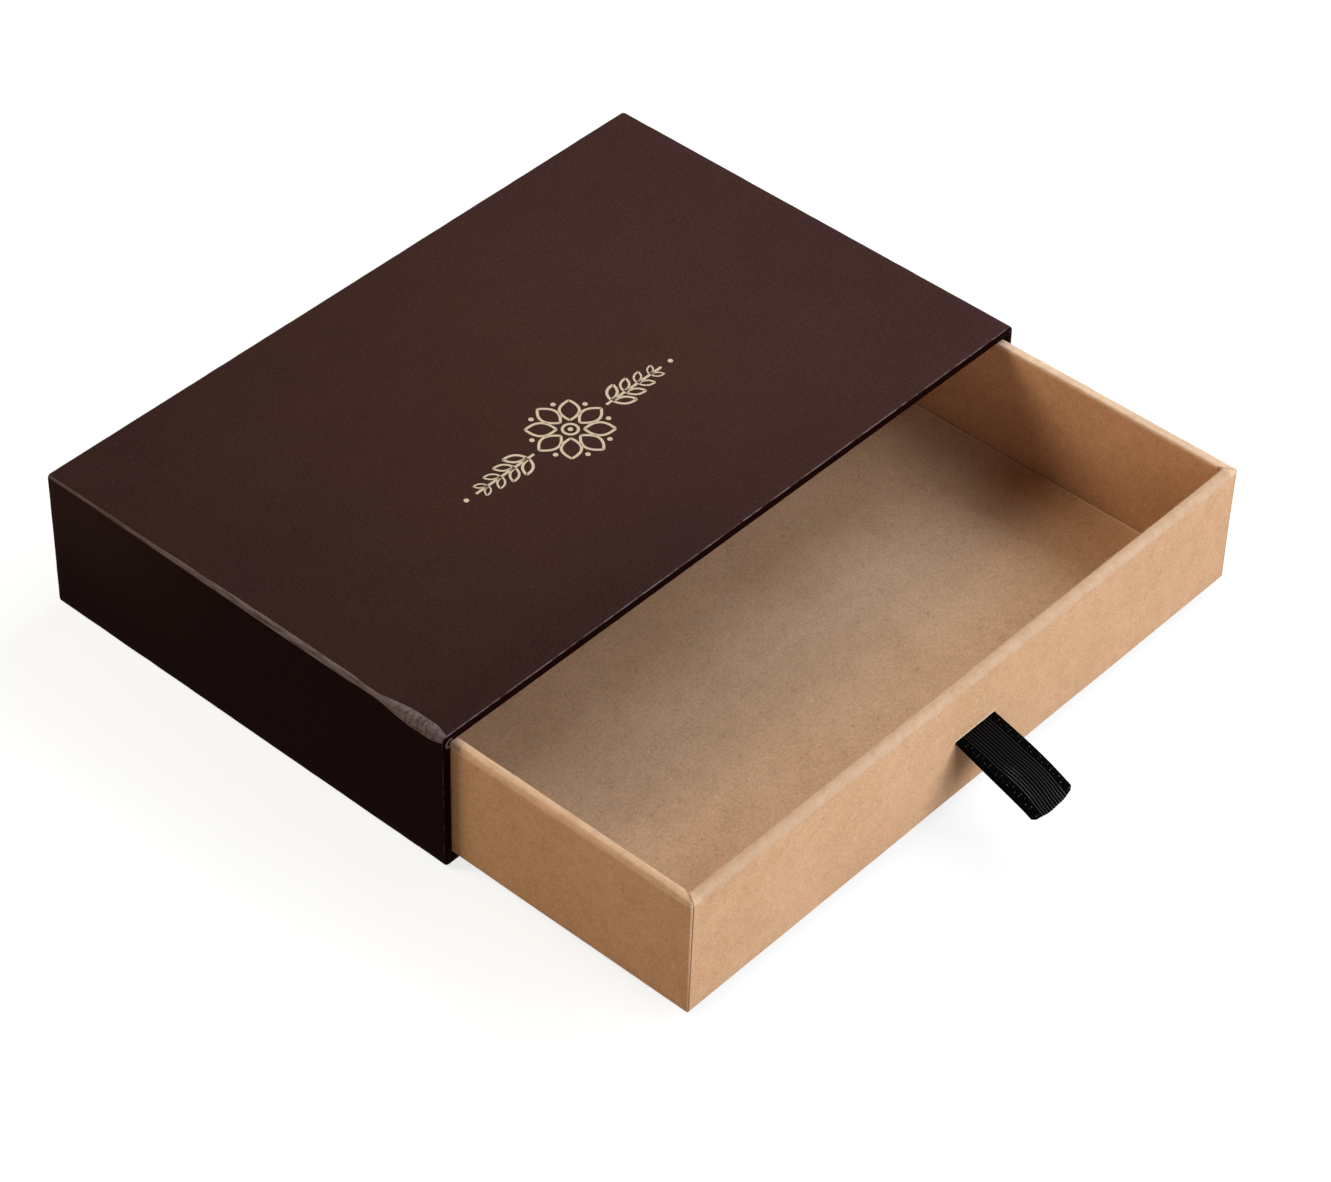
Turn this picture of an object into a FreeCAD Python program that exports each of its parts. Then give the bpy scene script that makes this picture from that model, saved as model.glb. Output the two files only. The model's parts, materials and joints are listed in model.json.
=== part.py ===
import FreeCAD, Part
import math
import os
import Sketcher

# Drawer gift box: a board sleeve closed at its back and covered in dark paper, and a kraft-covered
# tray with a ribbon pull that slides in it.
# Frame, in millimetres: X along the mouth, +Y towards the closed back, +Z up. The origin is the
# centre of the sleeve's underside. The tray slides towards -Y and is drawn partly open.

doc = FreeCAD.newDocument("drawer_gift_box")

# Driving sizes: lengths in millimetres, angles in degrees, shares of the size that they follow
SIZES = {
    # sleeve
    "sleeve_width": 216.0,
    "sleeve_depth": 140.0,
    "sleeve_height": 43.4,
    "sleeve_board": 2.0,
    "sleeve_paper": 0.2,
    "sleeve_edge_radius": 1.4,
    "mouth_lip_radius": 0.7,
    "mouth_turn_in": 16.0,
    "sleeve_flap": 14.0,
    "sleeve_tape_width": 9.0,
    "sleeve_tape_thickness": 0.12,
    "sleeve_tape_inset": 4.0,
    # running clearances between tray and sleeve
    "side_clearance": 0.4,
    "under_clearance": 0.3,
    "top_clearance": 0.8,
    "back_clearance": 0.4,
    # tray
    "tray_wall_board": 2.5,
    "tray_base_board": 2.0,
    "tray_paper": 0.2,
    "tray_edge_radius": 1.0,
    "rim_roll_radius": 1.8,
    "rim_lip_radius": 0.7,
    "tray_flap": 12.0,
    "tray_tape_width": 9.0,
    "tray_tape_thickness": 0.12,
    "tray_tape_inset": 3.0,
    "drawer_opening": 76.0,
    # ribbon pull
    "ribbon_width": 15.0,
    "ribbon_thickness": 0.4,
    "ribbon_fold_gap": 0.5,
    "ribbon_bend_radius": 40.0,
    "ribbon_bend_angle": 37.0,
    "ribbon_root_gap": 0.7,
    "ribbon_tail_length": 9.0,
    "slit_height_share": 0.52,
    "slit_side_clearance": 0.3,
    "slit_face_clearance": 0.1,
    # how far a cutting block runs past the face that it cuts
    "overrun": 1.0,
}

sheet = doc.addObject("Spreadsheet::Sheet", "sizes")
for row, (alias, value) in enumerate(SIZES.items(), start=1):
    sheet.set(f"A{row}", alias)
    sheet.set(f"B{row}", str(value))
    sheet.setAlias(f"B{row}", alias)
doc.recompute()

# Bounds of the sleeve, as expressions on the sheet
NOTHING = "0"
SLEEVE_SIDE = "sizes.sleeve_width / 2"
SLEEVE_BACK = "sizes.sleeve_depth / 2"
SLEEVE_TOP = "sizes.sleeve_height"
SLEEVE_SKIN = "sizes.sleeve_paper"
SLEEVE_BOARD = "(sizes.sleeve_paper + sizes.sleeve_board)"
SLEEVE_WALL = "(sizes.sleeve_board + 2 * sizes.sleeve_paper)"

# Bounds of the tray, seated in the sleeve with its running clearances
TRAY_SIDE = f"({SLEEVE_SIDE} - {SLEEVE_WALL} - sizes.side_clearance)"
TRAY_LOW = f"({SLEEVE_WALL} + sizes.under_clearance)"
TRAY_TOP = f"({SLEEVE_TOP} - {SLEEVE_WALL} - sizes.top_clearance)"
TRAY_FRONT = f"(-({SLEEVE_BACK}) - sizes.drawer_opening)"
TRAY_BACK = f"({SLEEVE_BACK} - {SLEEVE_WALL} - sizes.back_clearance - sizes.drawer_opening)"
TRAY_SKIN = "sizes.tray_paper"
TRAY_BOARD = "(sizes.tray_paper + sizes.tray_wall_board)"
TRAY_WALL = "(sizes.tray_wall_board + 2 * sizes.tray_paper)"
TRAY_FLOOR = f"({TRAY_LOW} + sizes.tray_base_board + 2 * sizes.tray_paper)"

# The ribbon's slit through the tray's front wall
SLIT_LEVEL = f"({TRAY_LOW} + ({TRAY_TOP} - {TRAY_LOW}) * sizes.slit_height_share)"
SLIT_HALF = "(sizes.ribbon_thickness + sizes.slit_face_clearance)"
TAIL_FACE = f"({TRAY_FRONT} + {TRAY_BOARD})"


def box(name, x, y, z):
    """A block between two bounds on each axis, every bound an expression on the sheet."""
    block = doc.addObject("Part::Box", name)
    for (low, high), side, axis in zip((x, y, z), ("Length", "Width", "Height"), "xyz"):
        block.setExpression(side, f"({high}) - ({low})")
        block.setExpression(f"Placement.Base.{axis}", low)
    return block


def both(half):
    """Bounds that lie the same way on both sides of the middle."""
    return f"-({half})", half


def fused(name, parts):
    """One tool made of several blocks or pieces."""
    whole = doc.addObject("Part::MultiFuse", name)
    whole.Shapes = parts
    return whole


def cut(label, base, *tools):
    """The base less every tool."""
    piece = doc.addObject("Part::Cut", label)
    piece.Base = base
    piece.Tool = tools[0] if len(tools) == 1 else fused(f"{label}_tools", list(tools))
    return piece


def slice_of(label, whole, zone):
    """The stretch of a form that lies in a zone."""
    piece = doc.addObject("Part::Common", label)
    piece.Base = whole
    piece.Tool = zone
    return piece


def attach(body, name, role, place):
    """A sketch on one of the body's own origin planes, shifted to its place there."""
    sketch = body.newObject("Sketcher::SketchObject", name)
    plane = next(item for item in body.Origin.OriginFeatures if item.Role == role)
    sketch.AttachmentSupport = (plane, [""])
    sketch.MapMode = "FlatFace"
    for axis, expression in zip("xyz", place):
        sketch.setExpression(f"AttachmentOffset.Base.{axis}", expression)
    return sketch


def name_size(sketch, constraint, name, expression):
    """A dimension of a sketch, named and bound to the sheet."""
    sketch.renameConstraint(sketch.addConstraint(constraint), name)
    sketch.setExpression(f"Constraints.{name}", expression)


def rectangle(body, name, role, across, up, lift):
    """A rectangle between two bounds across and two bounds up, on a plane lifted off an origin plane."""
    middle = [f"(({low}) + ({high})) / 2" for low, high in (across, up)]
    sketch = attach(body, name, role, (*middle, lift))
    corners = [(-1, -1), (1, -1), (1, 1), (-1, 1)]
    for (x0, y0), (x1, y1) in zip(corners, corners[1:] + corners[:1]):
        start, end = FreeCAD.Vector(x0, y0, 0), FreeCAD.Vector(x1, y1, 0)
        sketch.addGeometry(Part.LineSegment(start, end))
    for side in range(4):
        sketch.addConstraint(Sketcher.Constraint("Coincident", side, 2, (side + 1) % 4, 1))
        sketch.addConstraint(Sketcher.Constraint("Vertical" if side % 2 else "Horizontal", side))
    sketch.addConstraint(Sketcher.Constraint("Symmetric", 0, 1, 1, 2, -1, 1))
    unit = corners[1][0] - corners[0][0]
    name_size(sketch, Sketcher.Constraint("DistanceX", 0, 1, 0, 2, unit), "across",
              f"({across[1]}) - ({across[0]})")
    name_size(sketch, Sketcher.Constraint("DistanceY", 1, 1, 1, 2, unit), "up",
              f"({up[1]}) - ({up[0]})")
    return sketch


def top_edges(shape, axis):
    """Names of a block's top edges that run along an axis."""
    level = max(corner.Z for corner in shape.Vertexes)
    return [
        f"Edge{number}"
        for number, edge in enumerate(shape.Edges, start=1)
        if all(math.isclose(end.Z, level) for end in edge.Vertexes)
        and edge.tangentAt(edge.FirstParameter).cross(axis).Length < edge.Tolerance
    ]


def rounded_block(name, x, y, z, radius, rolled_along=None):
    """A body holding one block, with every edge rounded or only its top edges along an axis."""
    body = doc.addObject("PartDesign::Body", name)
    pad = body.newObject("PartDesign::Pad", f"{name}_block")
    pad.Profile = rectangle(body, f"{name}_plan", "XY_Plane", x, y, z[0])
    pad.setExpression("Length", f"({z[1]}) - ({z[0]})")
    doc.recompute()
    rounding = body.newObject("PartDesign::Fillet", f"{name}_edges")
    rounding.Base = (pad, ["Edge1"] if rolled_along is None else top_edges(pad.Shape, rolled_along))
    rounding.UseAllEdges = rolled_along is None
    rounding.setExpression("Radius", radius)
    doc.recompute()
    return body


def lip_edges(shape):
    """Names of the inner edges of a hollow form's open face, the one face with a hole in it."""
    face = next(item for item in shape.Faces if len(item.Wires) == 2)
    inner = min(face.Wires, key=lambda wire: wire.BoundBox.DiagonalLength)
    return [
        f"Edge{number}"
        for number, edge in enumerate(shape.Edges, start=1)
        if any(edge.isSame(other) for other in inner.Edges)
    ]


def hollow(body, role, across, up, lift, depth, lip_radius):
    """Sinks a room into a rounded block from its open face and rounds the room's lip."""
    before = body.Shape.Volume
    plan = rectangle(body, f"{body.Name}_room_plan", role, across, up, lift)
    pocket = body.newObject("PartDesign::Pocket", f"{body.Name}_room")
    pocket.Profile = plan
    pocket.setExpression("Length", depth)
    doc.recompute()
    room = Part.Face(plan.Shape).Area * pocket.Length.Value
    if not math.isclose(before - body.Shape.Volume, room, rel_tol=1e-6):
        raise RuntimeError(f"{body.Name}: the room was not sunk to its depth")
    lip = body.newObject("PartDesign::Fillet", f"{body.Name}_lip")
    lip.Base = (pocket, lip_edges(pocket.Shape))
    lip.setExpression("Radius", lip_radius)
    doc.recompute()
    return body


# Sleeve forms
# The papers are the difference between two nested forms of the sleeve: the whole wall, and the
# board inside it. Every paper and board is then a stretch of one of the two, so they tile.
def sleeve_block(name, inset):
    """The sleeve's rounded outer block, drawn in all round by an inset."""
    return rounded_block(
        name,
        both(f"{SLEEVE_SIDE} - {inset}"),
        both(f"{SLEEVE_BACK} - {inset}"),
        (inset, f"{SLEEVE_TOP} - {inset}"),
        f"sizes.sleeve_edge_radius - {inset}",
    )


def sleeve_form(name, inset):
    """The sleeve's wall thinned from both faces by an inset, open at the mouth."""
    side = f"{SLEEVE_SIDE} - {SLEEVE_WALL} + {inset}"
    low = f"{SLEEVE_WALL} - {inset}"
    high = f"{SLEEVE_TOP} - {SLEEVE_WALL} + {inset}"
    return hollow(
        sleeve_block(name, inset),
        "XZ_Plane",
        both(side),
        (low, high),
        f"{SLEEVE_BACK} - {inset}",
        f"sizes.sleeve_depth - {SLEEVE_WALL}",
        f"sizes.mouth_lip_radius - {inset}",
    )


sleeve_whole = sleeve_form("sleeve_whole", NOTHING)
sleeve_core = sleeve_form("sleeve_core", SLEEVE_SKIN)
sleeve_skin = cut("sleeve_skin", sleeve_whole, sleeve_core)

# Sleeve papers
SLEEVE_UNDER = ("-sizes.overrun", SLEEVE_SKIN)
SLEEVE_REAR = (f"{SLEEVE_BACK} - {SLEEVE_SKIN}", f"{SLEEVE_BACK} + sizes.overrun")
FLAP_SIDE = both(f"{SLEEVE_SIDE} - sizes.sleeve_flap")
BAY_SIDE = both(f"{SLEEVE_SIDE} - {SLEEVE_BOARD}")
BAY_HEIGHT = (SLEEVE_BOARD, f"{SLEEVE_TOP} - {SLEEVE_BOARD}")

base_zone = box("sleeve_base_zone", FLAP_SIDE, both(f"{SLEEVE_BACK} - sizes.sleeve_flap"),
                SLEEVE_UNDER)
back_zone = box("sleeve_back_zone", FLAP_SIDE, SLEEVE_REAR,
                ("sizes.sleeve_flap", f"{SLEEVE_TOP} - sizes.sleeve_flap"))
lining_zone = box("sleeve_lining_zone", BAY_SIDE,
                  (f"sizes.mouth_turn_in - {SLEEVE_BACK}", f"{SLEEVE_BACK} - {SLEEVE_WALL}"),
                  BAY_HEIGHT)
back_lining_zone = box("sleeve_back_lining_zone", BAY_SIDE,
                       (f"{SLEEVE_BACK} - {SLEEVE_WALL}", f"{SLEEVE_BACK} - {SLEEVE_BOARD}"),
                       BAY_HEIGHT)

sleeve_papers = [
    slice_of("sleeve_base_paper", sleeve_skin, base_zone),
    slice_of("sleeve_back_paper", sleeve_skin, back_zone),
    slice_of("sleeve_lining", sleeve_skin, lining_zone),
    slice_of("sleeve_back_lining", sleeve_skin, back_lining_zone),
    cut("sleeve_wrap", sleeve_skin, base_zone, back_zone, lining_zone, back_lining_zone),
]

# Sleeve stay tapes, pressed flush into the board along its outer corners
sleeve_pressed = sleeve_block("sleeve_pressed", f"({SLEEVE_SKIN} + sizes.sleeve_tape_thickness)")
sleeve_tape_skin = cut("sleeve_tape_skin", sleeve_core, sleeve_pressed)
TAPE_X = f"{SLEEVE_SIDE} - sizes.sleeve_tape_width"
TAPE_Y = f"{SLEEVE_BACK} - sizes.sleeve_tape_width"
TAPE_Z = f"{SLEEVE_TOP} - sizes.sleeve_tape_width"
PAST_X = f"{SLEEVE_SIDE} + sizes.overrun"
PAST_Y = f"{SLEEVE_BACK} + sizes.overrun"
PAST_Z = f"{SLEEVE_TOP} + sizes.overrun"
LEFT, RIGHT = (f"-({PAST_X})", f"-({TAPE_X})"), (TAPE_X, PAST_X)
LOW, HIGH = ("-sizes.overrun", "sizes.sleeve_tape_width"), (TAPE_Z, PAST_Z)
ALONG = both(f"{SLEEVE_BACK} - sizes.sleeve_tape_inset")
REAR = (TAPE_Y, PAST_Y)
BETWEEN_X = both(f"{TAPE_X} - sizes.sleeve_tape_inset")
BETWEEN_Z = ("sizes.sleeve_tape_width + sizes.sleeve_tape_inset",
             f"{TAPE_Z} - sizes.sleeve_tape_inset")


def stays(label, tape_skin, zones):
    """A group of like stay tapes, one in each zone."""
    blocks = [box(f"{label}_{number}", *zone) for number, zone in enumerate(zones, start=1)]
    return slice_of(label, tape_skin, fused(f"{label}_zones", blocks))


sleeve_side_stays = stays(
    "sleeve_side_stays", sleeve_tape_skin, [(x, ALONG, z) for x in (LEFT, RIGHT) for z in (LOW, HIGH)]
)
sleeve_back_stays = stays(
    "sleeve_back_stays",
    sleeve_tape_skin,
    [(BETWEEN_X, REAR, z) for z in (LOW, HIGH)] + [(x, REAR, BETWEEN_Z) for x in (LEFT, RIGHT)],
)

# Sleeve boards: top and bottom cover the edges of the sides, and the back stands between the sides
sleeve_boards_whole = cut("sleeve_boards_whole", sleeve_core, sleeve_side_stays, sleeve_back_stays)
FULL_X = both(PAST_X)
FULL_Y = both(PAST_Y)
SLEEVE_BOARD_ZONES = {
    "sleeve_top_board": (FULL_X, FULL_Y, (BAY_HEIGHT[1], PAST_Z)),
    "sleeve_bottom_board": (FULL_X, FULL_Y, ("-sizes.overrun", BAY_HEIGHT[0])),
    "sleeve_left_board": ((f"-({PAST_X})", BAY_SIDE[0]), FULL_Y, BAY_HEIGHT),
    "sleeve_right_board": ((BAY_SIDE[1], PAST_X), FULL_Y, BAY_HEIGHT),
    "sleeve_back_board": (BAY_SIDE, (f"{SLEEVE_BACK} - {SLEEVE_BOARD}", PAST_Y), BAY_HEIGHT),
}
sleeve_boards = [
    slice_of(label, sleeve_boards_whole, box(f"{label}_zone", *zone))
    for label, zone in SLEEVE_BOARD_ZONES.items()
]


# Tray forms, nested in the same way
def tray_block(name, inset):
    """The tray's rounded outer block, drawn in all round by an inset."""
    return rounded_block(
        name,
        both(f"{TRAY_SIDE} - {inset}"),
        (f"{TRAY_FRONT} + {inset}", f"{TRAY_BACK} - {inset}"),
        (f"{TRAY_LOW} + {inset}", f"{TRAY_TOP} - {inset}"),
        f"sizes.tray_edge_radius - {inset}",
    )


def tray_shell(name, inset):
    """The tray's wall and base thinned from both faces by an inset, open at the top."""
    return hollow(
        tray_block(name, inset),
        "XY_Plane",
        both(f"{TRAY_SIDE} - {TRAY_WALL} + {inset}"),
        (f"{TRAY_FRONT} + {TRAY_WALL} - {inset}", f"{TRAY_BACK} - {TRAY_WALL} + {inset}"),
        f"{TRAY_TOP} - {inset}",
        f"{TRAY_TOP} - {TRAY_FLOOR}",
        f"sizes.rim_lip_radius - {inset}",
    )


def rim_rolls(name, inset):
    """Two blocks as wide and as deep as the tray, each with its two rim edges rolled round."""
    side = both(f"{TRAY_SIDE} - {inset}")
    depth = (f"{TRAY_FRONT} + {inset}", f"{TRAY_BACK} - {inset}")
    height = (f"{TRAY_LOW} - sizes.overrun", f"{TRAY_TOP} - {inset}")
    past_side = both(f"{TRAY_SIDE} + sizes.overrun")
    past_depth = (f"{TRAY_FRONT} - sizes.overrun", f"{TRAY_BACK} + sizes.overrun")
    radius = f"sizes.rim_roll_radius - {inset}"
    return [
        rounded_block(f"{name}_sides", side, past_depth, height, radius, FreeCAD.Vector(0, 1, 0)),
        rounded_block(f"{name}_ends", past_side, depth, height, radius, FreeCAD.Vector(1, 0, 0)),
    ]


def tray_form(name, inset):
    """The tray's shell with the outer edges of its rim rolled, so that the rolls meet in mitres."""
    shapes = [tray_shell(f"{name}_shell", inset), *rim_rolls(name, inset)]
    form = doc.addObject("Part::MultiCommon", name)
    form.Shapes = shapes
    return form


tray_whole = tray_form("tray_whole", NOTHING)
tray_core = tray_form("tray_core", TRAY_SKIN)

# Ribbon tails: both ends pass the slit, turn up and down behind the front board and are glued flat
# there, under the paper that turns in over the rim
ribbon_tails = fused("ribbon_tails", [
    box("ribbon_tails_glued", both("sizes.ribbon_width / 2"),
        (TAIL_FACE, f"{TAIL_FACE} + sizes.ribbon_thickness"),
        (f"{SLIT_LEVEL} - sizes.ribbon_tail_length", f"{SLIT_LEVEL} + sizes.ribbon_tail_length")),
    box("ribbon_tails_in_slit", both("sizes.ribbon_width / 2"), (TRAY_FRONT, TAIL_FACE),
        (f"{SLIT_LEVEL} - sizes.ribbon_thickness", f"{SLIT_LEVEL} + sizes.ribbon_thickness")),
])
slit = box("ribbon_slit", both("sizes.ribbon_width / 2 + sizes.slit_side_clearance"),
           (f"{TRAY_FRONT} - sizes.overrun", TAIL_FACE),
           (f"{SLIT_LEVEL} - {SLIT_HALF}", f"{SLIT_LEVEL} + {SLIT_HALF}"))
tail_cover = box("ribbon_tail_cover", both(f"sizes.ribbon_width / 2 + {TRAY_SKIN}"),
                 (TAIL_FACE, f"{TAIL_FACE} + sizes.ribbon_thickness + {TRAY_SKIN}"),
                 (f"{SLIT_LEVEL} - sizes.ribbon_tail_length - {TRAY_SKIN}",
                  f"{SLIT_LEVEL} + sizes.ribbon_tail_length + {TRAY_SKIN}"))

# Tray papers
tray_covered = fused("tray_covered", [tray_whole, tail_cover])
tray_skin = cut("tray_skin", tray_covered, tray_core)
ROOM_SIDE = both(f"{TRAY_SIDE} - {TRAY_WALL}")
ROOM_DEPTH = (f"{TRAY_FRONT} + {TRAY_WALL}", f"{TRAY_BACK} - {TRAY_WALL}")
tray_base_zone = box(
    "tray_base_zone",
    both(f"{TRAY_SIDE} - sizes.tray_flap"),
    (f"{TRAY_FRONT} + sizes.tray_flap", f"{TRAY_BACK} - sizes.tray_flap"),
    (f"{TRAY_LOW} - sizes.overrun", f"{TRAY_LOW} + {TRAY_SKIN}"),
)
floor_zone = box("tray_floor_zone", ROOM_SIDE, ROOM_DEPTH, (f"{TRAY_FLOOR} - {TRAY_SKIN}", TRAY_FLOOR))
tray_papers = [
    slice_of("tray_base_paper", tray_skin, tray_base_zone),
    slice_of("tray_floor_liner", tray_skin, floor_zone),
    cut("tray_wrap", tray_skin, tray_base_zone, floor_zone, slit, ribbon_tails),
]

# Tray stay tapes, one round each upright corner
tray_pressed = tray_block("tray_pressed", f"({TRAY_SKIN} + sizes.tray_tape_thickness)")
tray_tape_skin = cut("tray_tape_skin", tray_core, tray_pressed)
TRAY_PAST_X = f"{TRAY_SIDE} + sizes.overrun"
TRAY_ENDS = (
    (f"{TRAY_FRONT} - sizes.overrun", f"{TRAY_FRONT} + sizes.tray_tape_width"),
    (f"{TRAY_BACK} - sizes.tray_tape_width", f"{TRAY_BACK} + sizes.overrun"),
)
TRAY_TAPE_X = f"{TRAY_SIDE} - sizes.tray_tape_width"
TRAY_SIDES = ((f"-({TRAY_PAST_X})", f"-({TRAY_TAPE_X})"), (TRAY_TAPE_X, TRAY_PAST_X))
UPRIGHT = (f"{TRAY_LOW} + sizes.tray_tape_inset", f"{TRAY_TOP} - sizes.tray_tape_inset")
tray_corner_stays = stays(
    "tray_corner_stays", tray_tape_skin, [(x, y, UPRIGHT) for x in TRAY_SIDES for y in TRAY_ENDS]
)

# Tray boards: front and back run the whole width, the sides stand between them, and the base lies
# within all four
tray_boards_whole = cut("tray_boards_whole", tray_core, tray_corner_stays, slit)
INNER_SIDE = f"{TRAY_SIDE} - {TRAY_BOARD}"
INNER_FRONT = f"{TRAY_FRONT} + {TRAY_BOARD}"
INNER_BACK = f"{TRAY_BACK} - {TRAY_BOARD}"
TRAY_FULL_X = both(TRAY_PAST_X)
TRAY_FULL_Z = (f"{TRAY_LOW} - sizes.overrun", f"{TRAY_TOP} + sizes.overrun")
INNER_Y = (INNER_FRONT, INNER_BACK)
TRAY_BOARD_ZONES = {
    "tray_front_board": (TRAY_FULL_X, (f"{TRAY_FRONT} - sizes.overrun", INNER_FRONT), TRAY_FULL_Z),
    "tray_back_board": (TRAY_FULL_X, (INNER_BACK, f"{TRAY_BACK} + sizes.overrun"), TRAY_FULL_Z),
    "tray_left_board": ((f"-({TRAY_PAST_X})", f"-({INNER_SIDE})"), INNER_Y, TRAY_FULL_Z),
    "tray_right_board": ((INNER_SIDE, TRAY_PAST_X), INNER_Y, TRAY_FULL_Z),
    "tray_base_board": (both(INNER_SIDE), INNER_Y, TRAY_FULL_Z),
}
tray_boards = [
    slice_of(label, tray_boards_whole, box(f"{label}_zone", *zone))
    for label, zone in TRAY_BOARD_ZONES.items()
]


# Ribbon loop
# One length of ribbon folded back on itself. It leaves the slit level and droops along an arc. The
# section is drawn about the centre of that arc, with the fold's centre on the radius at its far end.
def hairpin(sketch, fold_radius, middle, sweep, first, prefix):
    """Three arcs round one face of the folded ribbon: out along the top, round the fold and back."""
    root = math.pi / 2
    tip = root + sweep
    fold = FreeCAD.Vector(middle * math.cos(tip), middle * math.sin(tip), 0)
    up = FreeCAD.Vector(0, 0, 1)
    centre = FreeCAD.Vector(0, 0, 0)
    outer = Part.Circle(centre, up, middle + fold_radius)
    inner = Part.Circle(centre, up, middle - fold_radius)
    sketch.addGeometry(Part.ArcOfCircle(outer, root, tip))
    sketch.addGeometry(Part.ArcOfCircle(Part.Circle(fold, up, fold_radius), tip, tip + math.pi))
    sketch.addGeometry(Part.ArcOfCircle(inner, root, tip))
    top, bend, under = first, first + 1, first + 2
    sketch.addConstraint([
        Sketcher.Constraint("Coincident", top, 3, -1, 1),
        Sketcher.Constraint("Coincident", under, 3, -1, 1),
        Sketcher.Constraint("Coincident", bend, 3, 0, 2),
        Sketcher.Constraint("PointOnObject", top, 1, -2),
        Sketcher.Constraint("PointOnObject", under, 1, -2),
        Sketcher.Constraint("PointOnObject", top, 2, 0),
        Sketcher.Constraint("Coincident", top, 2, bend, 1),
        Sketcher.Constraint("PointOnObject", bend, 2, 0),
        Sketcher.Constraint("Coincident", bend, 2, under, 2),
    ])
    radius = Sketcher.Constraint("Radius", top, middle + fold_radius)
    return radius, f"{prefix}_radius"


def ribbon(name):
    """The folded ribbon: its section in the plane of the droop, padded to its width."""
    body = doc.addObject("PartDesign::Body", name)
    place = (f"{TRAY_FRONT} - sizes.ribbon_root_gap", f"{SLIT_LEVEL} - sizes.ribbon_bend_radius", NOTHING)
    sketch = attach(body, f"{name}_section", "YZ_Plane", place)
    middle = sheet.ribbon_bend_radius
    sweep = math.radians(sheet.ribbon_bend_angle)
    tip = math.pi / 2 + sweep
    end = FreeCAD.Vector(middle * math.cos(tip), middle * math.sin(tip), 0)
    sketch.addGeometry(Part.LineSegment(FreeCAD.Vector(0, 0, 0), end), True)
    sketch.addConstraint(Sketcher.Constraint("Coincident", 0, 1, -1, 1))
    name_size(sketch, Sketcher.Constraint("Distance", 0, middle), "bend_radius", "sizes.ribbon_bend_radius")
    name_size(sketch, Sketcher.Constraint("Angle", -2, 1, 0, 1, sweep), "bend_angle",
              "sizes.ribbon_bend_angle * 1 deg")
    gap = sheet.ribbon_fold_gap / 2
    faces = (
        ("outer", gap + sheet.ribbon_thickness, "sizes.ribbon_fold_gap / 2 + sizes.ribbon_thickness"),
        ("inner", gap, "sizes.ribbon_fold_gap / 2"),
    )
    for number, (prefix, fold_radius, expression) in enumerate(faces):
        constraint, label = hairpin(sketch, fold_radius, middle, sweep, 1 + 3 * number, prefix)
        name_size(sketch, constraint, label, f"sizes.ribbon_bend_radius + {expression}")
    for outer, inner in ((1, 4), (3, 6)):
        ends = [sketch.getPoint(arc, 1) for arc in (outer, inner)]
        cap = sketch.addGeometry(Part.LineSegment(*ends))
        sketch.addConstraint(Sketcher.Constraint("Coincident", cap, 1, outer, 1))
        sketch.addConstraint(Sketcher.Constraint("Coincident", cap, 2, inner, 1))
    doc.recompute()
    pad = body.newObject("PartDesign::Pad", f"{name}_width")
    pad.Profile = sketch
    pad.Midplane = True
    pad.setExpression("Length", "sizes.ribbon_width")
    doc.recompute()
    return body


ribbon_loop = ribbon("ribbon_loop")

# The pieces that the box is made of, each written under its label
nodes = [
    *sleeve_boards,
    sleeve_side_stays,
    sleeve_back_stays,
    *sleeve_papers,
    *tray_boards,
    tray_corner_stays,
    *tray_papers,
    ribbon_tails,
    ribbon_loop,
]
doc.recompute()

for item in doc.Objects:
    if {"Invalid", "Error"} & set(item.State):
        raise RuntimeError(f"{item.Name} failed: {item.State}")
for node in nodes:
    node.Label = node.Name
    shape = node.Shape
    if shape.isNull() or not shape.isValid() or not shape.Solids:
        raise RuntimeError(f"{node.Name} has no valid solid")

os.makedirs("parts", exist_ok=True)
for node in nodes:
    node.Shape.exportStep(f"parts/{node.Label}.step")
    box_of = node.Shape.BoundBox
    print(f"{node.Label}: {len(node.Shape.Solids)} solid, {node.Shape.Volume:.1f} mm3, "
          f"x {box_of.XMin:.2f} {box_of.XMax:.2f}, y {box_of.YMin:.2f} {box_of.YMax:.2f}, "
          f"z {box_of.ZMin:.2f} {box_of.ZMax:.2f}")
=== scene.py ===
"""Looks of the sliding drawer gift box: its papers, ribbon pull, ornament, studio and camera."""

import json
import logging
import math
from dataclasses import dataclass, field
from enum import Enum
from typing import Callable, Mapping, Sequence, Union

import bpy
import numpy as np
from mathutils import Matrix, Vector, noise


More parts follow.
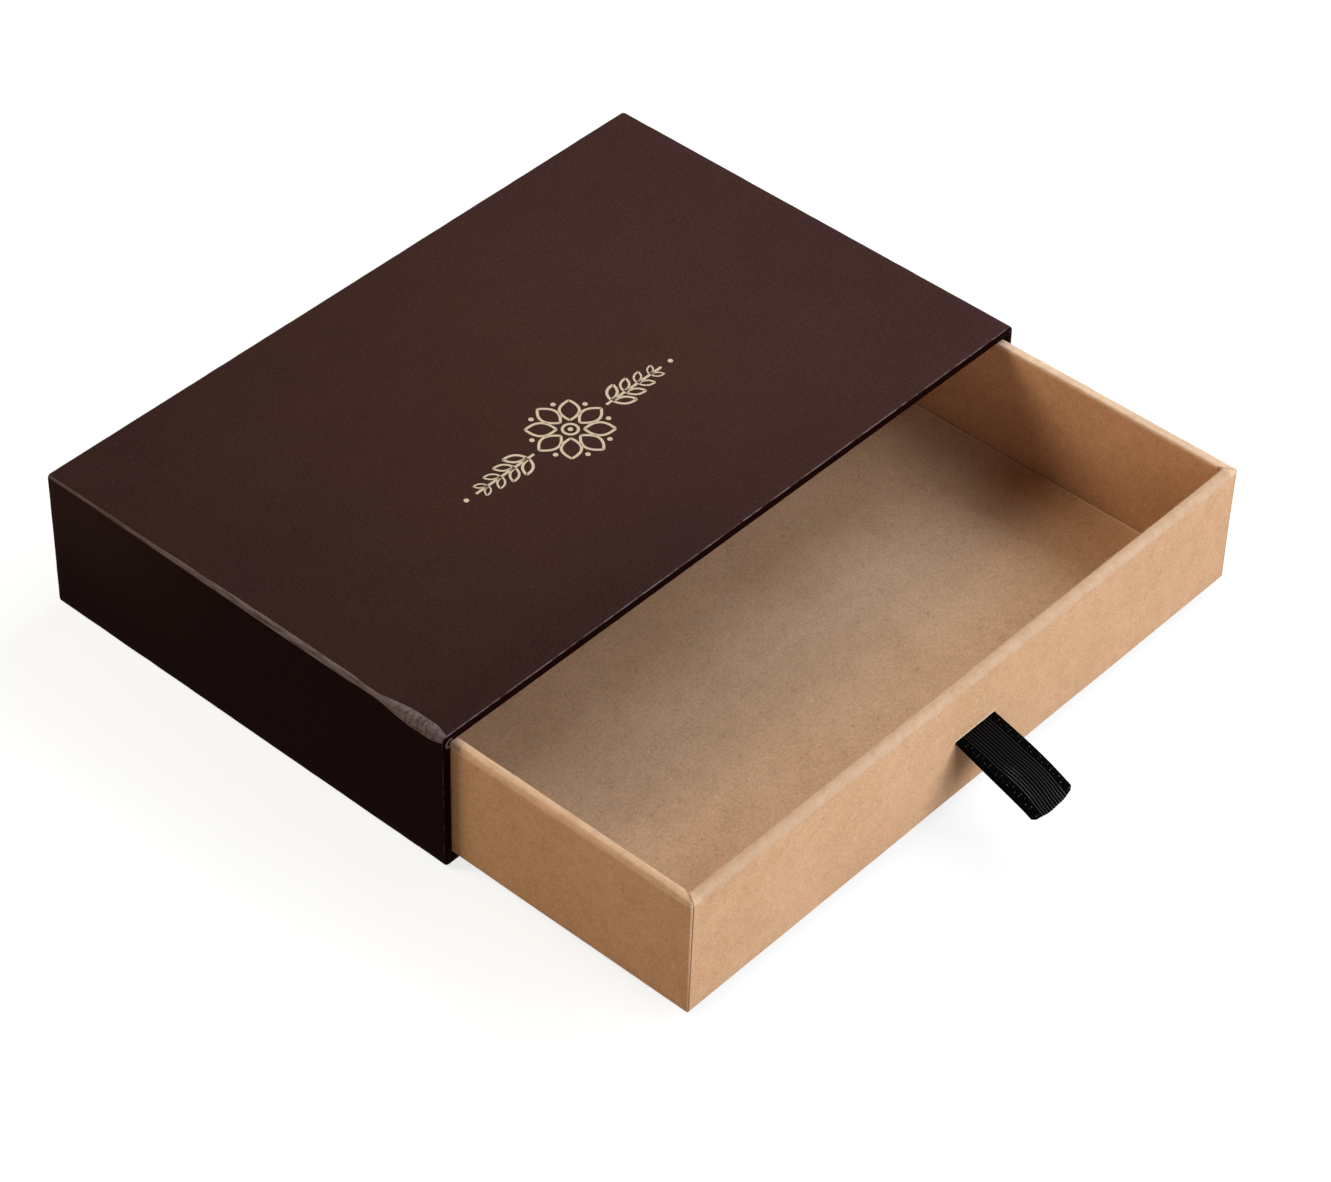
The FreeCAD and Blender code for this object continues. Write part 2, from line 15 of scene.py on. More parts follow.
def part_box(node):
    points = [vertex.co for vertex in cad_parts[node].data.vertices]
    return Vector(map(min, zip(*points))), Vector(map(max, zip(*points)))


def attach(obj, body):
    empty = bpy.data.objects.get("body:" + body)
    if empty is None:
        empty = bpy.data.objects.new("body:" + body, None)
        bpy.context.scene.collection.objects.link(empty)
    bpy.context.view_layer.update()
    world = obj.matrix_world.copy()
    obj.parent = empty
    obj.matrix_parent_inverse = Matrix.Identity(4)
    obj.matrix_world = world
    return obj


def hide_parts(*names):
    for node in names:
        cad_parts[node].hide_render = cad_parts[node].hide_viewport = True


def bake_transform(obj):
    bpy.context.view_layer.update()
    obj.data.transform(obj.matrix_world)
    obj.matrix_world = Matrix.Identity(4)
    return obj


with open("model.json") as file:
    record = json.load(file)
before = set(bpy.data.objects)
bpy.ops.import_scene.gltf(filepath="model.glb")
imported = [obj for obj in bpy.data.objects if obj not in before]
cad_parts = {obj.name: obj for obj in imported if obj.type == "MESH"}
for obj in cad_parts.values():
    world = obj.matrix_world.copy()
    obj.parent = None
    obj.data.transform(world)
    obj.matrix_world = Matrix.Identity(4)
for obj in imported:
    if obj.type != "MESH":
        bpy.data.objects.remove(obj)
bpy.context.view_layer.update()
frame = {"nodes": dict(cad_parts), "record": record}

LOG = logging.getLogger("gift_box")
MM = 0.001

# How far a seed or a shift moves noise along each axis
SEED_SPREAD = (17.3, 5.1, 9.7)
SHIFT_SPREAD = (1.0, 0.7, 1.3)
# The turn between two faces, in degrees, past which their edge stays sharp
SMOOTH_ANGLE = 38.0
# How thick the papers are, in millimetres
PAPER = 0.18
# How near to a kept place, in millimetres, an evenly spaced one gives way
GIVE_WAY = 0.6
# The share of a side, from its middle, that stays in place when its ends move
STILL_SHARE = 0.12

Triple = tuple[float, float, float]
Colour = Triple
Pair = tuple[float, float]
Number = Union[float, int, "Wire"]


def ramp(value: np.ndarray, low: float, high: float) -> np.ndarray:
    """Rise smoothly from 0 at low to 1 at high, or fall where high is the lower.

    Args:
        value: What is measured.
        low: Where the result is 0.
        high: Where the result is 1.

    Returns:
        The result for each value.
    """
    share = np.clip((value - low) / (high - low), 0.0, 1.0)
    return share * share * (3.0 - 2.0 * share)


def ripple(points: np.ndarray, size: float, seed: float) -> np.ndarray:
    """Read smooth noise between about -1 and 1 at each point.

    Args:
        points: Places in millimetres, one in each row.
        size: About how wide one ripple is, in millimetres.
        seed: Shifts the noise, so that two uses differ.

    Returns:
        One number for each point.
    """
    shift = Vector([seed * part for part in SEED_SPREAD])
    flat = points.reshape(-1, 3)
    values = [noise.noise(Vector(place) / size + shift) for place in flat]
    return np.array(values).reshape(points.shape[:-1])


def node_box(node: str) -> tuple[np.ndarray, np.ndarray]:
    """Give the lowest and highest corner of a node of the frame, in millimetres."""
    low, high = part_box(node)
    return np.array(low) / MM, np.array(high) / MM


# Node trees


class Wire:
    """A number on a socket. Arithmetic on it adds Math nodes to its tree."""

    def __init__(self, bench: "Bench", socket: bpy.types.NodeSocket) -> None:
        """Wrap a socket of a bench's tree."""
        self.bench = bench
        self.socket = socket

    def __add__(self, other: Number) -> "Wire":
        """Add."""
        return self.bench.math("ADD", self, other)

    def __radd__(self, other: Number) -> "Wire":
        """Add, with the number first."""
        return self.bench.math("ADD", other, self)

    def __sub__(self, other: Number) -> "Wire":
        """Subtract."""
        return self.bench.math("SUBTRACT", self, other)

    def __rsub__(self, other: Number) -> "Wire":
        """Subtract from a number."""
        return self.bench.math("SUBTRACT", other, self)

    def __mul__(self, other: Number) -> "Wire":
        """Multiply."""
        return self.bench.math("MULTIPLY", self, other)

    def __rmul__(self, other: Number) -> "Wire":
        """Multiply, with the number first."""
        return self.bench.math("MULTIPLY", other, self)

    def __truediv__(self, other: Number) -> "Wire":
        """Divide."""
        return self.bench.math("DIVIDE", self, other)

    def __rtruediv__(self, other: Number) -> "Wire":
        """Divide a number by it."""
        return self.bench.math("DIVIDE", other, self)

    def __abs__(self) -> "Wire":
        """Give its size without its sign."""
        return self.bench.math("ABSOLUTE", self)

    def low_of(self, other: Number) -> "Wire":
        """Give the smaller of two."""
        return self.bench.math("MINIMUM", self, other)

    def high_of(self, other: Number) -> "Wire":
        """Give the larger of two."""
        return self.bench.math("MAXIMUM", self, other)


class Bench:
    """A node tree and the one method that adds nodes to it."""

    def __init__(self, tree: bpy.types.NodeTree) -> None:
        """Keep the tree."""
        self.tree = tree

    def add(
        self,
        kind: str,
        settings: Mapping[str, object] | None = None,
        sockets: Mapping[Union[str, int], object] | None = None,
    ) -> bpy.types.Node:
        """Add a node.

        Args:
            kind: The node's type.
            settings: Its settings, set first.
            sockets: Values or links of its inputs, by name or number.

        Returns:
            The node.
        """
        node = self.tree.nodes.new(kind)
        for name, value in (settings or {}).items():
            setattr(node, name, value)
        for key, value in (sockets or {}).items():
            self.feed(node.inputs[key], value)
        return node

    def feed(self, socket: bpy.types.NodeSocket, value: object) -> None:
        """Link a wire or socket to an input, or set the input to a plain value.

        Args:
            socket: The input.
            value: A wire, a socket or a plain value.
        """
        if isinstance(value, Wire):
            value = value.socket
        if isinstance(value, bpy.types.NodeSocket):
            self.tree.links.new(value, socket)
        else:
            socket.default_value = value

    def math(self, operation: str, *values: Number) -> Wire:
        """Join numbers with a Math node.

        Args:
            operation: The node's operation.
            values: Its inputs in order.

        Returns:
            The result.
        """
        node = self.add("ShaderNodeMath", {"operation": operation}, dict(enumerate(values)))
        return Wire(self, node.outputs[0])


class Surface(Bench):
    """A finish's node tree, read at the piece's own place in millimetres."""

    def __init__(self, name: str) -> None:
        """Start an empty material.

        Args:
            name: The material's name.
        """
        self.material = bpy.data.materials.new(name)
        self.material.use_nodes = True
        super().__init__(self.material.node_tree)
        self.tree.nodes.clear()
        place = self.add("ShaderNodeTexCoord").outputs["Object"]
        self.place = self.shade(place, 1.0 / MM)
        parts = self.add("ShaderNodeSeparateXYZ", {}, {0: self.place})
        self.x, self.y, self.z = (Wire(self, parts.outputs[axis]) for axis in range(3))

    def moved(self, stretch: Triple, shift: float) -> bpy.types.NodeSocket:
        """Give the place stretched along its axes and shifted.

        Args:
            stretch: The frequency along each axis.
            shift: How far it is moved.

        Returns:
            The changed place.
        """
        way = tuple(shift * part for part in SHIFT_SPREAD)
        sockets = {"Vector": self.place, "Scale": stretch, "Location": way}
        return self.add("ShaderNodeMapping", {}, sockets).outputs[0]

    def noise(
        self,
        size: float,
        detail: float = 2.0,
        rough: float = 0.5,
        bend: float = 0.0,
        stretch: Triple = (1.0, 1.0, 1.0),
        shift: float = 0.0,
    ) -> Wire:
        """Read noise.

        Args:
            size: About how wide one patch is, in millimetres.
            detail: How many finer layers it has.
            rough: How strong those layers are.
            bend: How far it is pulled out of shape.
            stretch: Its frequency along each axis.
            shift: Moves it, so that two uses differ.

        Returns:
            A number near 0.5, mostly from 0.25 to 0.75.
        """
        place = self.moved(stretch, shift)
        sockets = {"Vector": place, "Scale": 1.0 / size, "Detail": detail, "Roughness": rough}
        node = self.add("ShaderNodeTexNoise", {}, {**sockets, "Distortion": bend})
        return Wire(self, node.outputs[0])

    def specks(self, pitch: float, radius: float, share: float, shift: float) -> Wire:
        """Scatter small round specks.

        Args:
            pitch: About how far apart the cells are, in millimetres.
            radius: A speck's radius as a share of the pitch.
            share: How many of the cells hold a speck.
            shift: Moves them, so that two uses differ.

        Returns:
            1 in a speck and 0 outside.
        """
        place = self.moved((1.0, 1.0, 1.0), shift)
        cell = self.add("ShaderNodeTexVoronoi", {}, {"Vector": place, "Scale": 1.0 / pitch})
        near = self.step(Wire(self, cell.outputs["Distance"]), radius, radius * 0.45)
        parts = self.add("ShaderNodeSeparateColor", {}, {0: cell.outputs["Color"]})
        chosen = self.step(Wire(self, parts.outputs[0]), share, share * 0.97)
        return near * chosen

    def fibres(self, size: float, width: float, shift: float) -> Wire:
        """Draw thin winding fibres.

        Args:
            size: About how far apart the fibres are, in millimetres.
            width: How wide a fibre is, as a share of the noise's range.
            shift: Moves them, so that two uses differ.

        Returns:
            1 on a fibre and 0 between them.
        """
        field_ = self.noise(size, 1.0, 0.4, 1.2, shift=shift)
        line = self.step(abs(field_ - 0.5), width, width * 0.2)
        return line * self.step(self.noise(size * 1.7, 1.0, shift=shift + 31.0), 0.5, 0.56)

    def step(self, value: Number, low: float, high: float) -> Wire:
        """Rise smoothly from 0 at low to 1 at high, or fall where high is the lower.

        Args:
            value: What is measured.
            low: Where the result is 0.
            high: Where the result is 1.

        Returns:
            The result.
        """
        ends = {"From Min": low, "From Max": high, "To Min": 0.0, "To Max": 1.0}
        if high < low:
            ends = {"From Min": high, "From Max": low, "To Min": 1.0, "To Max": 0.0}
        smooth = {"interpolation_type": "SMOOTHSTEP"}
        node = self.add("ShaderNodeMapRange", smooth, {"Value": value, **ends})
        return Wire(self, node.outputs[0])

    def mix(self, share: Number, under: object, over: object) -> bpy.types.NodeSocket:
        """Lay one colour over another.

        Args:
            share: How much of the upper one shows.
            under: The lower colour or its socket.
            over: The upper colour or its socket.

        Returns:
            The mixed colour.
        """
        lower, upper = (
            (*tone, 1.0) if isinstance(tone, tuple) else tone for tone in (under, over)
        )
        node = self.add("ShaderNodeMix", {"data_type": "RGBA"}, {0: share, 6: lower, 7: upper})
        return node.outputs[2]

    def shade(self, colour: bpy.types.NodeSocket, factor: Number) -> bpy.types.NodeSocket:
        """Multiply a colour by a number."""
        sockets = {0: colour, "Scale": factor}
        return self.add("ShaderNodeVectorMath", {"operation": "SCALE"}, sockets).outputs[0]

    def finish(
        self,
        colour: bpy.types.NodeSocket,
        rough: Number,
        height: Wire,
        relief: float,
        gloss: float,
        tint: Colour = (1.0, 1.0, 1.0),
    ) -> bpy.types.Material:
        """Join the colour, roughness and relief to the material's output.

        Args:
            colour: The surface's colour.
            rough: Its roughness.
            height: Its fine relief, 0 to 1.
            relief: How deep that relief is, in millimetres.
            gloss: How much it shines, the same all over.
            tint: The colour of that shine.

        Returns:
            The material.
        """
        depth = {"Height": height, "Distance": relief * MM, "Strength": 1.0}
        sockets = {
            "Base Color": colour,
            "Roughness": rough,
            "Normal": self.add("ShaderNodeBump", {}, depth).outputs[0],
            "Specular IOR Level": gloss,
            "Specular Tint": (*tint, 1.0),
        }
        shader = self.add("ShaderNodeBsdfPrincipled", {}, sockets)
        self.add("ShaderNodeOutputMaterial", {}, {0: shader.outputs[0]})
        return self.material


class Recipe(Bench):
    """A Geometry Nodes tree with named inputs for its sizes."""

    def __init__(self, name: str) -> None:
        """Start an empty tree with a geometry input and output.

        Args:
            name: The tree's name.
        """
        tree = bpy.data.node_groups.new(name, "GeometryNodeTree")
        super().__init__(tree)
        for way in ("INPUT", "OUTPUT"):
            tree.interface.new_socket(
                name="Geometry", in_out=way, socket_type="NodeSocketGeometry"
            )
        self.values: dict[str, float] = {}
        self.entry = self.add("NodeGroupInput")

    def size(self, name: str, value: float) -> Wire:
        """Add a named input.

        Args:
            name: The input's name.
            value: What this piece gives it; a whole number makes a whole-number input.

        Returns:
            The input, to build with.
        """
        kind = "NodeSocketInt" if isinstance(value, int) else "NodeSocketFloat"
        self.tree.interface.new_socket(name=name, in_out="INPUT", socket_type=kind)
        self.values[name] = value
        return Wire(self, self.entry.outputs[name])

    def vector(self, x: Number = 0.0, y: Number = 0.0, z: Number = 0.0) -> bpy.types.NodeSocket:
        """Join three numbers into a vector."""
        return self.add("ShaderNodeCombineXYZ", {}, {0: x, 1: y, 2: z}).outputs[0]

    def join(self, *parts: bpy.types.NodeSocket) -> bpy.types.NodeSocket:
        """Join several geometries into one.

        Args:
            parts: The geometries.

        Returns:
            All of them together.
        """
        node = self.add("GeometryNodeJoinGeometry")
        for part in parts:
            self.tree.links.new(part, node.inputs[0])
        return node.outputs[0]

    def strip(
        self, path: bpy.types.NodeSocket, profile: bpy.types.NodeSocket
    ) -> bpy.types.NodeSocket:
        """Sweep a profile along a path and close its ends."""
        sockets = {"Curve": path, "Profile Curve": profile, "Fill Caps": True}
        return self.add("GeometryNodeCurveToMesh", {}, sockets).outputs[0]

    def repeat(
        self,
        count: Number,
        part: bpy.types.NodeSocket,
        place: bpy.types.NodeSocket | None = None,
        turn: bpy.types.NodeSocket | None = None,
        scale: bpy.types.NodeSocket | None = None,
    ) -> bpy.types.NodeSocket:
        """Repeat a part at a number of points.

        Args:
            count: How many points.
            part: What is repeated.
            place: Where each point is; it may read the point's index.
            turn: Each copy's turn, as Euler angles.
            scale: Each copy's size.

        Returns:
            The copies, as instances.
        """
        sockets: dict[Union[str, int], object] = {"Count": count}
        if place is not None:
            sockets["Position"] = place
        points = self.add("GeometryNodePoints", {}, sockets).outputs[0]
        sockets = {"Points": points, "Instance": part}
        if turn is not None:
            sockets["Rotation"] = turn
        if scale is not None:
            sockets["Scale"] = scale
        return self.add("GeometryNodeInstanceOnPoints", {}, sockets).outputs[0]

    def index(self) -> Wire:
        """Give the number of each point."""
        return Wire(self, self.add("GeometryNodeInputIndex").outputs[0])

    def make(
        self, carrier: bpy.types.Object, result: bpy.types.NodeSocket, finish: bpy.types.Material
    ) -> None:
        """End the tree, run it on an object and keep the result as the object's plain mesh.

        Args:
            carrier: The object whose mesh the tree starts from.
            result: The geometry that the tree ends with.
            finish: The material of all of it.
        """
        plain = self.add("GeometryNodeRealizeInstances", {}, {0: result}).outputs[0]
        coat = {"Geometry": plain, "Material": finish}
        dressed = self.add("GeometryNodeSetMaterial", {}, coat).outputs[0]
        self.add("NodeGroupOutput", {}, {0: dressed})
        modifier = carrier.modifiers.new(self.tree.name, "NODES")
        modifier.node_group = self.tree
        for item in self.tree.interface.items_tree:
            if item.name in self.values and item.in_out == "INPUT":
                modifier[item.identifier] = self.values[item.name]
        settle(carrier)


# Meshes


def settle(piece: bpy.types.Object) -> None:
    """Turn a piece and its modifiers into one plain mesh.

    Args:
        piece: The piece, which keeps no modifier.
    """
    bpy.context.view_layer.update()
    graph = bpy.context.evaluated_depsgraph_get()
    mesh = bpy.data.meshes.new_from_object(piece.evaluated_get(graph))
    piece.modifiers.clear()
    piece.data = mesh


def soften(piece: bpy.types.Object, angle: float = SMOOTH_ANGLE) -> None:
    """Shade a piece smooth, with an edge kept where its faces turn by more than angle degrees."""
    piece.data.shade_smooth()
    piece.data.set_sharp_from_angle(angle=math.radians(angle))


def new_piece(name: str, points: np.ndarray, faces: Sequence[Sequence[int]]) -> bpy.types.Object:
    """Make an object from points in millimetres.

    Args:
        name: The piece's name.
        points: Its points, one in each row.
        faces: The numbers of each face's points.

    Returns:
        The object, in metres, at the origin.
    """
    mesh = bpy.data.meshes.new(name)
    mesh.from_pydata((points.reshape(-1, 3) * MM).tolist(), [], [list(face) for face in faces])
    mesh.update()
    piece = bpy.data.objects.new(name, mesh)
    bpy.context.scene.collection.objects.link(piece)
    return piece


def place_on(
    piece: bpy.types.Object,
    body: str,
    stands_for: Sequence[str] = (),
    finish: bpy.types.Material | None = None,
) -> None:
    """Dress a piece and tie it to the frame.

    Args:
        piece: The finished piece.
        body: The body that it moves with.
        stands_for: The frame's nodes that it stands for.
        finish: Its material, where it has none yet.
    """
    if finish is not None:
        piece.data.materials.clear()
        piece.data.materials.append(finish)
    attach(piece, body)
    if stands_for:
        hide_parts(*stands_for)
    LOG.info("%s rides on %s, %d faces", piece.name, body, len(piece.data.polygons))


class Profile:
    """A line drawn point by point in a plane, such as a paper's path round a wall in section."""

    def __init__(self, first: float, second: float) -> None:
        """Start at a point."""
        self.points: list[Pair] = [(first, second)]

    def line(self, first: float, second: float, step: float = 2.5) -> "Profile":
        """Go straight on to a point.

        Args:
            first: The point's first coordinate.
            second: The point's second coordinate.
            step: About how long each step is.

        Returns:
            The line itself, to go on from.
        """
        start = np.array(self.points[-1])
        end = np.array((first, second))
        count = max(1, round(float(np.linalg.norm(end - start)) / step))
        self.points += [tuple(start + (end - start) * n / count) for n in range(1, count + 1)]
        return self

    def turn(self, first: float, second: float, centre: Pair, steps: int = 6) -> "Profile":
        """Go round a centre to a point, the shorter way.

        Args:
            first: The point's first coordinate.
            second: The point's second coordinate.
            centre: What the line goes round.
            steps: In how many steps.

        Returns:
            The line itself, to go on from.
        """
        start = np.array(self.points[-1]) - centre
        end = np.array((first, second)) - centre
        a, b = (math.atan2(place[1], place[0]) for place in (start, end))
        swing = (b - a + math.pi) % (2 * math.pi) - math.pi
        near, far = float(np.linalg.norm(start)), float(np.linalg.norm(end))
        for n in range(1, steps + 1):
            share = n / steps
            radius = near + (far - near) * share
            angle = a + swing * share
            across, up = radius * math.cos(angle), radius * math.sin(angle)
            self.points.append((centre[0] + across, centre[1] + up))
        return self

    def array(self) -> np.ndarray:
        """Give the points as rows."""
        return np.array(self.points)

    def proud(self, height: float) -> np.ndarray:
        """Give the points moved to the line's left side.

        Args:
            height: How far they move.

        Returns:
            The moved points as rows.
        """
        points = self.array()
        ahead = np.gradient(points, axis=0)
        ahead /= np.linalg.norm(ahead, axis=1)[:, None]
        return points + height * np.stack([-ahead[:, 1], ahead[:, 0]], axis=1)


def spread(reach: float, pitch: float, kept: Sequence[float] = ()) -> np.ndarray:
    """Space places along a side, with some given places among them.

    Args:
        reach: How far the side goes each way from its middle.
        pitch: The usual distance from place to place.
        kept: Places that are used as they are.

    Returns:
        The places in order, from -reach to reach.
    """
    places = np.linspace(-reach, reach, max(2, round(2 * reach / pitch)) + 1)
    for value in kept:
        inner = (np.abs(places - value) > GIVE_WAY) | (np.abs(places) == reach)
        places = np.sort(np.append(places[inner], value))
    return places


def refit(places: np.ndarray, old: float, low: float, high: float) -> np.ndarray:
    """Fit places along a side to new ends, and leave the middle of the side alone.

    Args:
        places: The places, from -old to old.
        old: How far the side went each way.
        low: How far it goes now on the minus side.
        high: How far it goes now on the plus side.

    Returns:
        The new places.
    """
    middle = old * STILL_SHARE
    new = np.where(places < 0, low, high)
    outer = middle + (np.abs(places) - middle) * (new - middle) / (old - middle)
    return np.where(np.abs(places) <= middle, places, np.sign(places) * outer)


def across_row(xs: np.ndarray, y: float, z: float) -> np.ndarray:
    """Give points along X at one depth and level, one in each row."""
    return np.stack([xs, np.full(len(xs), y), np.full(len(xs), z)], axis=1)


@dataclass(frozen=True)
class Ring:
    """A rectangle with rounded corners that a wrapped paper follows round the box.

    Its sides are numbered round from the one at the lowest second coordinate, and each corner has
    the number of the side before it.
    """

    half: Pair
    centre: Pair
    radius: Callable[[int, float], float]
    pitch: float = 2.5
    kept: tuple[float, ...] = ()
    steps: int = 6
    corner_room: float = 1.4
    least_radius: float = 0.15

    def at(self, inset: float, along: float) -> np.ndarray:
        """Give the ring's points at one place of the profile.

        Args:
            inset: How far it lies in from the outer face.
            along: The place on the axis.

        Returns:
            The points in the ring's own plane, going round once.
        """
        half = np.array(self.half) - inset
        radii = [
            max(self.radius(corner, along) - inset, self.least_radius) for corner in range(4)
        ]
        turns = [np.array([[1, 0], [0, 1]]), np.array([[0, -1], [1, 0]]),
                 np.array([[-1, 0], [0, -1]]), np.array([[0, 1], [-1, 0]])]
        points = []
        for side in range(4):
            reach, out = (half[0], half[1]) if side % 2 == 0 else (half[1], half[0])
            old = self.half[side % 2] - self.corner_room
            places = spread(old, self.pitch, self.kept if side == 0 else ())
            before, after = radii[side - 1], radii[side]
            straight = refit(places, old, reach - before, reach - after)
            edge = np.stack([straight, np.full(len(straight), -out)], axis=1)
            angles = np.radians(-90 + 90 * np.arange(1, self.steps) / self.steps)
            across = reach - after + after * np.cos(angles)
            ahead = -out + after + after * np.sin(angles)
            corner = np.stack([across, ahead], axis=1)
            points.append(np.concatenate([edge, corner]) @ turns[side].T)
        return np.concatenate(points) + np.array(self.centre)


class Axis(Enum):
    """The direction in which the rings of a wrapped paper follow each other."""

    DEPTH = (0, 2, 1)
    UPWARD = (0, 1, 2)

    def solid(self, flat: np.ndarray, along: float) -> np.ndarray:
        """Give points in space from points in a ring's plane and the place on the axis."""
        columns = [flat[:, 0], flat[:, 1], np.full(len(flat), along)]
        return np.stack([columns[n] for n in self.value], axis=1)


@dataclass
class Paper:
    """A sheet of paper as a grid of points that is given its shape, and then its thickness."""

    points: np.ndarray
    closed: bool
    thickness: float = PAPER
    normals: np.ndarray = field(init=False)

    def __post_init__(self) -> None:
        """Work out the direction in which the paper faces at each point."""
        if self.closed:
            across = np.roll(self.points, -1, axis=1) - np.roll(self.points, 1, axis=1)
        else:
            across = np.gradient(self.points, axis=1)
        down = np.gradient(self.points, axis=0)
        normals = np.cross(across, down)
        lengths = np.linalg.norm(normals, axis=2, keepdims=True)
        self.normals = normals / np.maximum(lengths, 1e-9)

    @classmethod
    def wrapped(cls, ring: Ring, profile: np.ndarray, axis: Axis) -> "Paper":
        """Wrap paper round a box, ring after ring along a profile of insets and places."""
        rows = [axis.solid(ring.at(inset, along), along) for inset, along in profile]
        return cls(np.array(rows), True)

    def face_towards(self, direction: Vector) -> "Paper":
        """Turn the paper over if its outermost point on a side doesn't face that way.

        Args:
            direction: The side.

        Returns:
            The paper itself.
        """
        aim = np.array(direction)
        outermost = np.unravel_index(np.argmax(self.points @ aim), self.points.shape[:2])
        if self.normals[outermost] @ aim < 0:
            self.points = self.points[::-1].copy()
            self.normals = -self.normals[::-1].copy()
        return self

    def press(self, relief: Callable[[np.ndarray], np.ndarray]) -> "Paper":
        """Raise or sink the paper along its normals by a relief read at its points."""
        self.points = self.points + self.normals * relief(self.points)[..., None]
        return self

    def piece(
        self, name: str, hole: Callable[[np.ndarray], bool] = lambda middle: False
    ) -> bpy.types.Object:
        """Cut the paper to a mesh with its thickness behind the face.

        Args:
            name: The piece's name.
            hole: Says whether a face is cut away, from its middle.

        Returns:
            The piece.
        """
        rows, columns = self.points.shape[:2]
        last = columns if self.closed else columns - 1
        flat = self.points.reshape(-1, 3)
        faces = []
        for row in range(rows - 1):
            for column in range(last):
                near, far = column, (column + 1) % columns
                face = [row * columns + near, row * columns + far,
                        (row + 1) * columns + far, (row + 1) * columns + near]
                if not hole(flat[face].mean(axis=0)):
                    faces.append(face)
        piece = new_piece(name, self.points, faces)
        wall = piece.modifiers.new("thickness", "SOLIDIFY")
        wall.thickness = self.thickness * MM
        wall.offset = -1.0
        settle(piece)
        soften(piece)
        return piece


# Finishes


